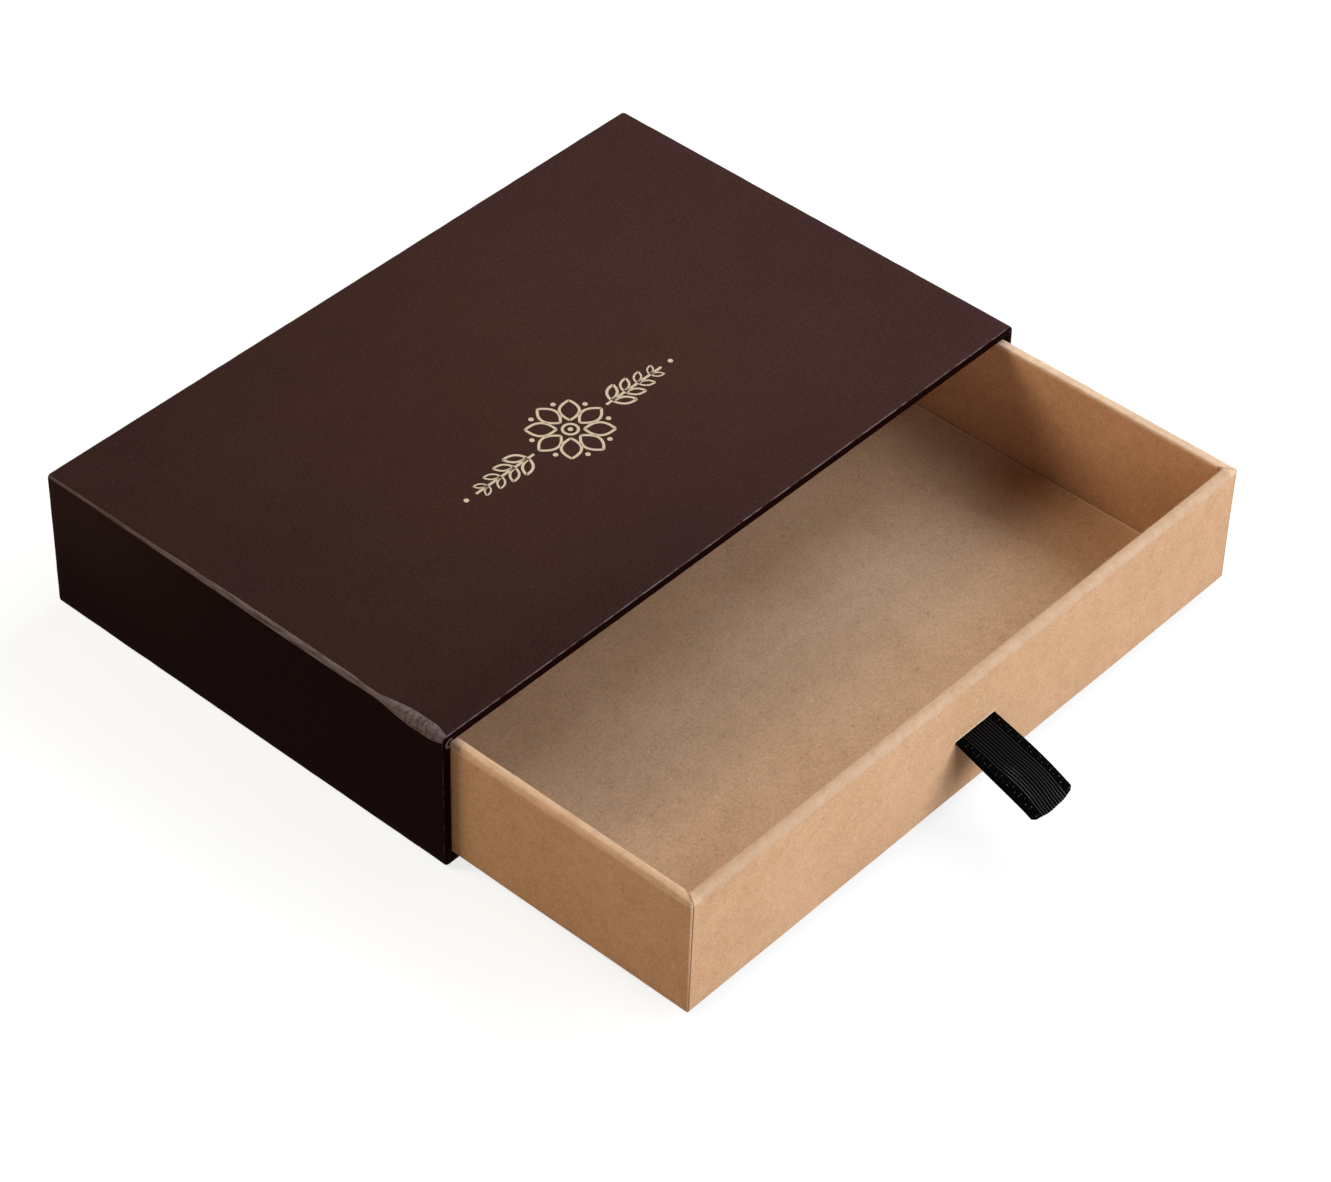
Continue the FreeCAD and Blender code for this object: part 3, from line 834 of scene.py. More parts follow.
@dataclass(frozen=True)
class TrayWearAndPaintedLight:
    """The worn marks, the painted light and shade, and the drawn lines of the tray's paper.

    Lengths are in millimetres. A pair of places says where a mark is nothing and where it is
    full, and a pair of shares how strong it is everywhere and how much more it can be.
    """

    half_width: float = 105.2
    front: float = -146.0
    # How pale the rim's painted highlight is, and how much paler on the right
    rim_painted_highlight: float = 0.42
    right_rim_painted_highlight: float = 0.3
    rim_level: float = 38.15
    rim_soft: float = 0.45
    ends_higher: float = 0.35
    right_higher: float = 0.6
    rim_wander: float = 1.9
    # How much painted shade darkens the top of the front and back rim
    rim_painted_shade: float = 0.155
    left_rim: Pair = (4.2, 2.6)
    right_rim: Pair = (3.3, 2.9)
    streaks: float = 0.4
    # How much painted shade darkens the inner walls, everywhere and more towards the floor
    wall_painted_shade: Pair = (0.02, 0.17)
    wall_face: Pair = (2.6, 2.8)
    wall_start: Pair = (2.2, 2.7)
    wall_low: Pair = (36.0, 14.0)
    mitre_slope: float = 1.78
    mitre_shift: float = 1.07
    mitre_line: Pair = (0.5, 0.22)
    mitre_top: Pair = (38.9, 39.3)
    mitre_end: Pair = (4.4, 4.1)
    mitre_deep: Pair = (2.6, 3.8)
    mitre_share: Pair = (0.5, 0.4)
    front_skin: Pair = (0.9, 0.5)
    seam_in: float = 0.42
    seam_lean: float = 0.014
    seam_line: Pair = (0.24, 0.1)
    seam_top: Pair = (39.2, 38.6)
    seam_share: float = 0.55
    cut_level: float = 22.95
    cut_line: Pair = (0.26, 0.16)
    cut_reach: Pair = (8.1, 7.8)
    # How strong the painted highlight along the slit's cut edge is, and its tone
    slit_highlight_share: float = 0.6
    slit_edge_highlight: Colour = (0.92, 0.80, 0.66)

    def mark(
        self, work: Surface, colour: bpy.types.NodeSocket, paper: "Kraft", blotch: Wire
    ) -> bpy.types.NodeSocket:
        """Paint the rim pale as a highlight with worn mottles, paint shade on the inner walls and
        on the front and back rim, and draw the front paper's lines.

        Args:
            work: The material's tree.
            colour: The paper's colour.
            paper: The paper, for its dark and pale tones.
            blotch: Slow noise that makes the borders wander.

        Returns:
            The colour with its marks.
        """
        aside, ahead = self.half_width - abs(work.x), work.y - self.front
        left = work.step(work.x + self.half_width, *self.left_rim)
        right = work.step(self.half_width - work.x, *self.right_rim)
        wander = (blotch - 0.5) * self.rim_wander
        level = work.z + wander * (1.0 - right)
        level = level - (1.0 - left) * self.ends_higher - right * self.right_higher
        crown = work.step(level, self.rim_level, self.rim_level + self.rim_soft)
        mottle = work.step(work.noise(2.6, 3.0, 0.6, shift=71.0), 0.36, 0.62)
        streak = work.noise(0.9, 3.0, 0.6, stretch=(1.0, 0.07, 1.0), shift=9.0)
        # The rim's crown is painted pale: a painted highlight on its rounded edge, broken by worn
        # mottles
        highlight_and_wear = crown * (self.rim_painted_highlight + right * self.right_rim_painted_highlight) * (0.78 + mottle * 0.44)
        colour = work.mix(highlight_and_wear, colour, paper.pale)
        sides = crown * left.high_of(right)
        colour = work.shade(colour, 1.0 + (streak - 0.5) * sides * self.streaks)
        # Painted shade on the inner walls, darker towards the floor
        inside = work.step(aside, *self.wall_face) * work.step(ahead, *self.wall_start)
        painted_shade = self.wall_painted_shade[0] + work.step(work.z, *self.wall_low) * self.wall_painted_shade[1]
        colour = work.shade(colour, 1.0 - inside * painted_shade)
        # Painted shade on the top of the front and back rim
        colour = work.shade(colour, 1.0 - crown * (1.0 - left) * (1.0 - right) * self.rim_painted_shade)
        # The mitres' dark lines: partly cuts and partly painted shadow of the paper's edge
        colour = work.mix(self._mitre(work, aside, ahead), colour, paper.dark)
        return self._front_lines(work, colour, paper, ahead)

    def _mitre(self, work: Surface, aside: Wire, ahead: Wire) -> Wire:
        """Draw the slanting cuts where the front paper ends on the rim's corners, as dark lines
        that are partly painted shadow of the paper's edge.

        Args:
            work: The material's tree.
            aside: The distance from the nearer side.
            ahead: The distance from the front.

        Returns:
            How dark the line is.
        """
        across = abs(ahead - aside * self.mitre_slope + self.mitre_shift)
        depth = self.mitre_share[0] + work.step(ahead, *self.mitre_deep) * self.mitre_share[1]
        line = work.step(across, *self.mitre_line) * depth
        return line * work.step(work.z, *self.mitre_top) * work.step(ahead, *self.mitre_end)

    def _front_lines(
        self, work: Surface, colour: bpy.types.NodeSocket, paper: "Kraft", ahead: Wire
    ) -> bpy.types.NodeSocket:
        """Draw the front paper's seams, as dark lines that are partly painted shadow of its edge,
        and a painted highlight on the cut edge above the ribbon's slit.

        Args:
            work: The material's tree.
            colour: The paper's colour.
            paper: The paper, for its dark tone.
            ahead: The distance from the front.

        Returns:
            The colour with the lines.
        """
        front = work.step(ahead, *self.front_skin)
        across = abs(work.x)
        # The seams' dark lines: partly joints and partly painted shadow of the front paper's edge
        seam = self.half_width - self.seam_in - work.z * self.seam_lean
        line = work.step(abs(across - seam), *self.seam_line) * front
        line = line * work.step(work.z, *self.seam_top)
        colour = work.mix(line * self.seam_share, colour, paper.dark)
        # A painted highlight along the cut edge above the slit
        cut = work.step(abs(work.z - self.cut_level), *self.cut_line)
        cut = cut * work.step(across, *self.cut_reach) * front
        return work.mix(cut * self.slit_highlight_share, colour, self.slit_edge_highlight)


@dataclass(frozen=True)
class Kraft:
    """Unbleached paper: clouded, fibrous, with dark and pale specks."""

    name: str
    tone: Colour
    cloud: Colour
    dark: Colour
    pale: Colour
    grain: float = 0.34
    rough: float = 0.82
    # The tray's worn marks, and its painted light and shade
    wear_and_painted_light: TrayWearAndPaintedLight | None = None
    # Where a pale line runs along the sheet's edge: partly its cut edge and partly a painted
    # highlight
    sheet_edge: float = 0.0
    edge_run: Pair = (0.6, 0.3)

    def make(self) -> bpy.types.Material:
        """Build the material.

        Returns:
            The material.
        """
        work = Surface(self.name)
        clouds = work.step(work.noise(34.0, 3.0, 0.55), 0.36, 0.66)
        colour = work.mix(clouds, self.tone, self.cloud)
        pulp = work.noise(0.75, 3.0, 0.62)
        fine = work.noise(0.3, 1.0, 0.5, shift=12.0)
        blotch = work.noise(5.0, 2.0, 0.5, shift=40.0)
        level = (pulp - 0.5) * 1.5 + (fine - 0.5) + (blotch - 0.5) * 0.5
        colour = work.shade(colour, 1.0 + level * self.grain)
        dark_fibre = work.fibres(1.7, 0.03, 3.0)
        pale_fibre = work.fibres(1.4, 0.03, 57.0)
        colour = work.mix(dark_fibre * 0.32, colour, self.dark)
        colour = work.mix(pale_fibre * 0.38, colour, self.pale)
        colour = work.mix(work.specks(3.4, 0.075, 0.35, 7.0) * 0.55, colour, self.dark)
        colour = work.mix(work.specks(5.2, 0.06, 0.3, 19.0) * 0.5, colour, self.pale)
        if self.wear_and_painted_light:
            colour = self.wear_and_painted_light.mark(work, colour, self, blotch)
        # A pale line along the sheet's edge by the walls: partly its cut edge and partly a painted
        # highlight
        if self.sheet_edge:
            near = work.step(self.sheet_edge - abs(work.x), *self.edge_run)
            colour = work.mix(near * 0.6, colour, self.pale)
        height = pulp * 0.6 + pale_fibre * 0.25 + fine * 0.15
        rough = self.rough + (pulp - 0.5) * 0.12
        return work.finish(colour, rough, height, relief=0.035, gloss=0.04)


@dataclass(frozen=True)
class Sides:
    """How far a place is from each side of the sleeve, in millimetres."""

    left: Wire
    right: Wire
    mouth: Wire
    back: Wire
    top: Wire
    under: Wire


@dataclass(frozen=True)
class LongFoldHighlightAndScuff:
    """The pale fold on the left, partly painted highlight and partly worn: a thin band, a scuffed
    lens near the mouth, a waist behind it.

    Lengths are in millimetres from the mouth or, for the far part, from the back.
    """

    lens_start: Pair = (-1.2, 5.5)
    lens_end: Pair = (24.0, 10.5)
    lens_half: float = 1.45
    waist_at: float = 25.0
    waist_span: Pair = (8.0, 2.0)
    waist_half: float = 0.35
    far_span: Pair = (8.0, 90.0)
    far_half: float = 0.8
    band_half: float = 0.4
    wander: float = 0.5
    tip: Pair = (0.3, 0.9)
    reach: Pair = (4.4, 3.8)

    def draw(self, work: Surface, sides: Sides) -> Wire:
        """Paint the fold pale: its highlight and its scuffs.

        Args:
            work: The material's tree.
            sides: The distances from the sleeve's sides.

        Returns:
            How pale the fold is painted.
        """
        wander = (work.noise(9.0, 2.0, shift=2.0) - 0.5) * self.wander
        across = abs(sides.left - sides.top + wander)
        lens = work.step(sides.mouth, *self.lens_start) * work.step(sides.mouth, *self.lens_end)
        waist = work.step(abs(sides.mouth - self.waist_at), *self.waist_span)
        far = work.step(sides.back, *self.far_span)
        half = self.band_half + far * self.far_half + lens * self.lens_half
        half = half - waist * self.waist_half
        inside = work.step(across - half, 0.16, -0.1)
        scuff = work.step(work.noise(1.2, 4.0, 0.8, shift=14.0), 0.4, 0.58)
        threads = work.noise(1.2, 3.0, 0.6, stretch=(2.4, 0.18, 2.4), shift=6.0)
        streak = work.step(threads, 0.3, 0.6) * (0.35 + far * 0.45)
        body = inside * (0.25 + lens * (0.1 + scuff * 0.68) + (1.0 - lens) * streak)
        outline = work.step(abs(across - half), 0.2, 0.04) * (0.24 + lens * 0.18)
        near = work.step(sides.left.high_of(sides.top), *self.reach)
        return (body + outline) * work.step(sides.mouth, *self.tip) * near


@dataclass(frozen=True)
class SleevePaper:
    """Dark brown printed paper with a fine grain, scuffed and painted with highlights along its
    folds, and with painted light and shade in its tone.
    """

    name: str = "sleeve_paper_brown"
    tone: Colour = (0.0485, 0.0216, 0.0212)
    # A painted sheen: the top turns warmer and lighter in its middle, and at random with the
    # clouds
    warm_tone_and_sheen: Colour = (0.0540, 0.0245, 0.0200)
    # The sides: a darker painted-shade copy of the same paper
    side: Colour = (0.0072, 0.0014, 0.0010)
    # A painted reflection: the sides turn lighter far back and high
    side_far_reflection: Colour = (0.0215, 0.0085, 0.0072)
    # The tone of the pale folds and specks: scuffed paper and painted highlights
    rub_and_highlight_tone: Colour = (0.180, 0.138, 0.150)
    shine: Colour = (1.0, 0.75, 0.68)
    half: Pair = (108.0, 70.0)
    height: float = 43.4
    curl: Pair = (-106.0, 41.2)
    curl_radius: float = 1.2
    long_fold: LongFoldHighlightAndScuff = LongFoldHighlightAndScuff()

    def make(self) -> bpy.types.Material:
        """Build the material.

        Returns:
            The material.
        """
        work = Surface(self.name)
        sides = Sides(
            left=work.x + self.half[0],
            right=self.half[0] - work.x,
            mouth=work.y + self.half[1],
            back=self.half[1] - work.y,
            top=self.height - work.z,
            under=work.z,
        )
        grain = work.noise(0.85, 3.0, 0.62)
        fine = work.noise(0.4, 1.0, shift=8.0)
        patch = work.noise(12.0, 2.0, shift=21.0)
        level = 1.0 + (grain - 0.5) * 0.9 + (fine - 0.5) * 0.55 + (patch - 0.5) * 0.16
        colour = work.shade(self._print(work, sides), level)
        colour = work.mix(work.specks(2.6, 0.08, 0.22, 5.0) * 0.35, colour, self.rub_and_highlight_tone)
        # The pale folds: painted highlights on the long fold, the mouth's fold and the curl, with
        # scuffs on the long fold and light marks on the others
        rub_and_highlight = self.long_fold.draw(work, sides).high_of(self._mouth_fold_highlight(work, sides))
        rub_and_highlight = rub_and_highlight.high_of(self._curl_highlight(work, sides)).high_of(self._plain_folds(work, sides))
        colour = work.mix(rub_and_highlight, colour, self.rub_and_highlight_tone)
        height = grain * 0.7 + fine * 0.3
        rough = 0.62 + (grain - 0.5) * 0.15 - rub_and_highlight * 0.08
        return work.finish(colour, rough, height, relief=0.03, gloss=0.01, tint=self.shine)

    def _print(self, work: Surface, sides: Sides) -> bpy.types.NodeSocket:
        """Tone the printed paper with painted light and shade: the top paler to the right with a
        painted sheen, the sides a darker painted-shade copy, lighter far back as a painted
        reflection.

        Args:
            work: The material's tree.
            sides: The distances from the sleeve's sides.

        Returns:
            The colour before its grain and wear.
        """
        clouds = work.step(work.noise(46.0, 2.0, 0.5, shift=3.0), 0.38, 0.62)
        # Painted light on the top: a sheen in the middle, lighter to the right, and painted shade
        # near the mouth on the left
        middle = work.step(abs(work.x), 100.0, 50.0) * work.step(abs(work.y), 66.0, 30.0)
        top = work.mix(clouds * 0.4 + middle * 0.6, self.tone, self.warm_tone_and_sheen)
        painted_light_slope = 0.80 + work.step(work.x, -115.0, 95.0) * 0.34 + middle * 0.06
        corner = work.step(sides.mouth, 22.0, 3.0) * work.step(work.x, 40.0, -70.0)
        top = work.shade(top, painted_light_slope - corner * 0.10)
        # The sides and the mouth's lip take the darker painted-shade copy, lighter far back as a
        # painted reflection
        far_reflection = work.step(sides.back, 75.0, 2.0) * work.step(work.z, 2.0, 40.0)
        side = work.mix(far_reflection, self.side, self.side_far_reflection)
        turned = work.step(sides.top, 0.5, 1.6).high_of(work.step(sides.mouth, 0.6, 0.25))
        return work.mix(turned, top, side)

    def _curl_highlight(self, work: Surface, sides: Sides) -> Wire:
        """Paint a highlight on the curled edge of the paper where it is folded in at the mouth's
        upper left corner.

        Args:
            work: The material's tree.
            sides: The distances from the sleeve's sides.

        Returns:
            How strong the painted highlight is.
        """
        aside, above = work.x - self.curl[0], work.z - self.curl[1]
        away = work.math("SQRT", aside * aside + above * above)
        ring = work.step(abs(away - self.curl_radius), 0.34, 0.1)
        ring = ring * work.step(aside - above * 0.3, 1.0, 0.5)
        return ring * work.step(sides.mouth, 1.0, 0.5) * 0.62

    def _mouth_fold_highlight(self, work: Surface, sides: Sides) -> Wire:
        """Paint a highlight along the fold round the mouth: a thin broken line, strongest along
        the top.

        Args:
            work: The material's tree.
            sides: The distances from the sleeve's sides.

        Returns:
            How strong the painted highlight is.
        """
        broken = work.step(work.noise(3.5, 3.0, 0.6, shift=33.0), 0.36, 0.6)
        nearest = sides.left.low_of(sides.right).low_of(sides.under).low_of(sides.top)
        upper = work.step(sides.top, 1.2, 0.2)
        line = work.step(abs(sides.mouth - nearest - 0.4), 0.3, 0.08)
        return line * (0.1 + broken * 0.78) * (0.3 + upper * 0.7)

    def _plain_folds(self, work: Surface, sides: Sides) -> Wire:
        """Lighten the other folds a little, along broken pale lines.

        Args:
            work: The material's tree.
            sides: The distances from the sleeve's sides.

        Returns:
            How pale the folds are.
        """
        broken = work.step(work.noise(5.0, 4.0, 0.65, shift=51.0), 0.42, 0.66)
        folds = ((sides.right, sides.top), (sides.back, sides.top), (sides.left, sides.under),
                 (sides.right, sides.under), (sides.left, sides.back), (sides.right, sides.back))
        rub_and_highlight: Wire | None = None
        for first, second in folds:
            near = work.step(first.high_of(second), 1.9, 1.2)
            line = work.step(abs(first - second), 0.5, 0.1) * near
            rub_and_highlight = line if rub_and_highlight is None else rub_and_highlight.high_of(line)
        return rub_and_highlight * (0.06 + broken * 0.34)


@dataclass(frozen=True)
class Lining:
    """The dark plain paper inside the sleeve."""

    name: str = "sleeve_lining_dark"
    tone: Colour = (0.024, 0.0125, 0.0108)
    pale: Colour = (0.05, 0.032, 0.028)

    def make(self) -> bpy.types.Material:
        """Build the material.

        Returns:
            The material.
        """
        work = Surface(self.name)
        grain = work.noise(0.9, 3.0, 0.6)
        cloud = work.step(work.noise(24.0, 2.0), 0.4, 0.65)
        colour = work.mix(cloud * 0.3 + work.fibres(2.0, 0.03, 4.0) * 0.4, self.tone, self.pale)
        colour = work.shade(colour, 0.8 + grain * 0.4)
        return work.finish(colour, 0.78 + (grain - 0.5) * 0.1, grain, relief=0.03, gloss=0.2)


@dataclass(frozen=True)
class Board:
    """Grey pulp board: recycled fibre with ink specks."""

    name: str = "greyboard_pulp"
    tone: Colour = (0.33, 0.30, 0.26)
    cloud: Colour = (0.27, 0.245, 0.21)
    ink: Colour = (0.06, 0.06, 0.07)
    straw: Colour = (0.47, 0.42, 0.33)

    def make(self) -> bpy.types.Material:
        """Build the material.

        Returns:
            The material.
        """
        work = Surface(self.name)
        pulp = work.noise(0.9, 4.0, 0.65)
        layers = work.noise(0.5, 2.0, stretch=(0.15, 0.15, 1.0), shift=5.0)
        colour = work.mix(work.step(work.noise(8.0, 3.0), 0.35, 0.65), self.tone, self.cloud)
        colour = work.shade(colour, 0.75 + pulp * 0.4 + layers * 0.1)
        colour = work.mix(work.specks(1.6, 0.11, 0.3, 3.0) * 0.7, colour, self.ink)
        colour = work.mix(work.fibres(1.8, 0.03, 9.0) * 0.5, colour, self.straw)
        height = pulp * 0.7 + layers * 0.3
        return work.finish(colour, 0.9 - pulp * 0.08, height, relief=0.08, gloss=0.15)


@dataclass(frozen=True)
class StayTape:
    """Gummed brown tape with reinforcing threads across it."""

    name: str = "stay_tape_gummed"
    tone: Colour = (0.42, 0.27, 0.145)
    thread: Colour = (0.55, 0.40, 0.25)

    def make(self) -> bpy.types.Material:
        """Build the material.

        Returns:
            The material.
        """
        work = Surface(self.name)
        pulp = work.noise(0.7, 3.0, 0.6)
        wave = work.math("SINE", (work.x + work.y + work.z) * 2.1)
        threads = work.step(wave, 0.86, 0.98)
        colour = work.mix(threads * 0.6, self.tone, self.thread)
        colour = work.shade(colour, 0.84 + pulp * 0.32)
        height = pulp * 0.4 + threads * 0.6
        return work.finish(colour, 0.5 + pulp * 0.2, height, relief=0.05, gloss=0.3)


@dataclass(frozen=True)
class RibbonYarn:
    """Black polyester yarn, matte in the ground cloth and glossy on the ribs, with an optional
    painted highlight towards the ribbon's tip.
    """

    name: str
    rough: float
    gloss: float
    relief: float = 0.03
    # The painted highlight towards the ribbon's tip: its strength here, its span in Y below
    tip_highlight_gain: float = 0.0
    tip_highlight_span: Pair = (-157.0, -169.0)
    tone: Colour = (0.0004, 0.0003, 0.0003)
    lit: Colour = (0.0014, 0.0011, 0.0009)
    # The painted highlight's tone
    tip_highlight: Colour = (0.062, 0.058, 0.054)

    def make(self) -> bpy.types.Material:
        """Build the material.

        Returns:
            The material.
        """
        work = Surface(self.name)
        yarn = work.math("SINE", (work.y - work.z * 0.5) * 16.0) * 0.5 + 0.5
        fuzz = work.noise(0.25, 2.0, 0.6)
        slub = work.noise(2.2, 2.0, shift=6.0)
        colour = work.mix(fuzz * 0.6 + slub * 0.3, self.tone, self.lit)
        # A painted highlight on the ribs towards the ribbon's tip, broken by slubs
        if self.tip_highlight_gain:
            fold = work.step(work.y, *self.tip_highlight_span)
            colour = work.mix(fold * (slub * 0.8 + 0.2) * self.tip_highlight_gain, colour, self.tip_highlight)
        rough = self.rough + (slub - 0.5) * 0.2 + (fuzz - 0.5) * 0.1
        height = yarn * 0.5 + fuzz * 0.5
        return work.finish(colour, rough, height, relief=self.relief, gloss=self.gloss)


@dataclass(frozen=True)
class OrnamentInk:
    """Cream ink pressed into the sleeve's top, a little worn."""

    name: str = "ornament_ink_cream"
    tone: Colour = (0.66, 0.53, 0.41)
    worn: Colour = (0.36, 0.27, 0.21)

    def make(self) -> bpy.types.Material:
        """Build the material.

        Returns:
            The material.
        """
        work = Surface(self.name)
        grain = work.noise(0.6, 3.0, 0.6)
        missing = work.step(work.noise(0.9, 3.0, 0.7, shift=4.0), 0.58, 0.72)
        colour = work.mix(missing * 0.5, self.tone, self.worn)
        colour = work.shade(colour, 0.9 + grain * 0.2)
        return work.finish(colour, 0.55 + (grain - 0.5) * 0.2, grain, relief=0.02, gloss=0.3)


# The sleeve


@dataclass
class Sleeve:
    """The dark outer box: its wrapped paper, the sheets behind and below, and its ornament."""

    paper: bpy.types.Material
    ink: bpy.types.Material
    wall: float = 2.4
    fold_radius: float = 1.4
    back_radius: float = 1.05
    lip_outer: float = 0.75
    lip_inner: float = 0.5
    flap: float = 16.0
    turn_in: float = 16.0
    under_sheet: float = 0.12
    scuffed_fold: int = 2
    fold_firm: float = 0.1
    scuff_flat: float = 0.4
    scuff_middle: float = -60.0
    scuff_reach: float = 10.5
    waist_sharp: float = 0.35
    waist_middle: float = -46.0
    waist_reach: float = 3.5
    wave: Pair = (0.05, 32.0)
    restless: Pair = (0.07, 5.0)
    curl_in: Triple = (2.0, -0.2, -2.2)
    curl_radius: float = 1.2

    def __post_init__(self) -> None:
        """Read the outer sizes from the frame."""
        self.low, self.high = node_box("sleeve_wrap")

    def build(self) -> None:
        """Build and dress the sleeve's pieces."""
        self.outer_paper()
        self.cover_sheet("sleeve_base_sheet", "sleeve_base_paper", 2, -1.0)
        self.cover_sheet("sleeve_back_sheet", "sleeve_back_paper", 1, 1.0)
        TopOrnament(self.ink, float(self.high[2])).build()

    def corner_radius(self, corner: int, along: float) -> float:
        """Give a fold's radius, which is flattened at the scuff near the mouth on the left.

        Args:
            corner: The fold's number in the ring.
            along: The place along the fold.

        Returns:
            The radius in millimetres.
        """
        if corner != self.scuffed_fold:
            return self.fold_radius
        lens = math.exp(-(((along - self.scuff_middle) / self.scuff_reach) ** 2))
        waist = math.exp(-(((along - self.waist_middle) / self.waist_reach) ** 2))
        firm = self.fold_radius - self.fold_firm
        return firm + self.scuff_flat * lens - self.waist_sharp * waist

    def relief(self, points: np.ndarray) -> np.ndarray:
        """Say how far the paper stands out: slow waves, restless folds and a curl at the mouth.

        Args:
            points: Places in millimetres.

        Returns:
            One height for each point.
        """
        x, y, z = points[..., 0], points[..., 1], points[..., 2]
        aside, above = self.high[0] - np.abs(x), np.minimum(z, self.high[2] - z)
        inside = ramp(np.minimum(aside, above), 0.9, 1.8)
        near = np.stack([aside, self.high[1] - np.abs(y), above])
        folds = ramp(np.sort(near, axis=0)[1], 3.0, 0.4)
        waves = self.wave[0] * ripple(points, self.wave[1], 1.0)
        restless = self.restless[0] * ripple(points, self.restless[1], 2.0) * folds
        curl_at = np.array([self.low[0], self.low[1], self.high[2]]) + self.curl_in
        away = np.linalg.norm(points - curl_at, axis=-1)
        roll = 0.26 * np.exp(-(((away - self.curl_radius) / 0.4) ** 2))
        curl = roll - 0.1 * np.exp(-((away / 0.7) ** 2))
        lip = ramp(y, self.low[1] + 6.0, self.low[1] + 1.0)
        return (waves + restless) * (1.0 - inside * 0.8) + curl * lip

    def outer_paper(self) -> None:
        """Wrap the dark paper round the box, over the mouth's edge and in."""
        back = float(self.high[1]) - self.under_sheet
        front = float(self.low[1])
        radius = self.back_radius
        profile = Profile(self.flap, back).line(radius, back)
        profile.turn(0.0, back - radius, (radius, back - radius))
        profile.line(0.0, front + self.lip_outer)
        profile.turn(self.lip_outer, front, (self.lip_outer, front + self.lip_outer))
        inner, lip = self.wall - self.lip_inner, front + self.lip_inner
        profile.line(inner, front, 0.4).turn(self.wall, lip, (inner, lip))
        profile.line(self.wall, front + self.turn_in, 2.0)
        bottom = float(self.low[2]) + self.under_sheet
        top = float(self.high[2])
        half = (float(self.high[0]), (top - bottom) / 2)
        ring = Ring(half, (0.0, (top + bottom) / 2), self.corner_radius)
        paper = Paper.wrapped(ring, profile.array(), Axis.DEPTH).face_towards(Vector((0, 0, 1)))
        piece = paper.press(self.relief).piece("sleeve_outer_paper")
        place_on(piece, "sleeve", ["sleeve_wrap"], self.paper)

    def cover_sheet(self, name: str, node: str, axis: int, facing: float) -> None:
        """Lay a cut sheet over the flaps, level with the sleeve's outside.

        Args:
            name: The piece's name.
            node: The frame's node that it stands for.
            axis: The axis that it faces along.
            facing: Which way it faces on that axis, -1 or 1.
        """
        low, high = node_box(node)
        across = [n for n in range(3) if n != axis]
        level = (self.high if facing > 0 else self.low)[axis]
        sheet = CutSheet(low[across], high[across], facing, level)
        piece = sheet.paper(axis).piece(name)
        place_on(piece, "sleeve", [node], self.paper)


@dataclass
class CutSheet:
    """A flat sheet with clipped corners and slightly wavy cut edges."""

    low: np.ndarray
    high: np.ndarray
    facing: float
    level: float
    clip: float = 1.2
    clip_share: float = 0.45
    border: float = 0.5
    waver: Pair = (0.12, 14.0)
    pitch: float = 3.0
    lift: float = 0.0
    lift_run: float = 1.4

    def paper(self, axis: int) -> Paper:
        """Shape the sheet.

        Args:
            axis: The axis that it faces along.

        Returns:
            The sheet as paper with its face on the level.
        """
        middle = (self.low + self.high) / 2
        half = (self.high - self.low) / 2
        columns, rows = (
            spread(reach, self.pitch, (reach - self.border, self.border - reach))
            for reach in half.tolist()
        )
        u, v = np.meshgrid(columns, rows)
        near_u, near_v = half[0] - np.abs(u), half[1] - np.abs(v)
        corner = np.maximum(self.clip - near_u, 0) * np.maximum(self.clip - near_v, 0)
        pull = 1.0 - self.clip_share * corner / self.clip**2 * (self.clip / half.max())
        flat = np.stack([u * pull + middle[0], v * pull + middle[1]], axis=-1)
        points = np.insert(flat, axis, self.level, axis=-1)
        edge = np.minimum(near_u, near_v)
        waver = self.waver[0] * ripple(points, self.waver[1], 7.0) * ramp(edge, 1.0, 0.0)
        across = [n for n in range(3) if n != axis]
        points[..., across] *= (1.0 - np.abs(waver) / half.max())[..., None]
        points[..., axis] += self.facing * self.lift * ramp(edge, self.lift_run, 0.0)
        sheet = Paper(points, False)
        aim = [0.0, 0.0, 0.0]
        aim[axis] = self.facing
        return sheet.face_towards(Vector(aim))


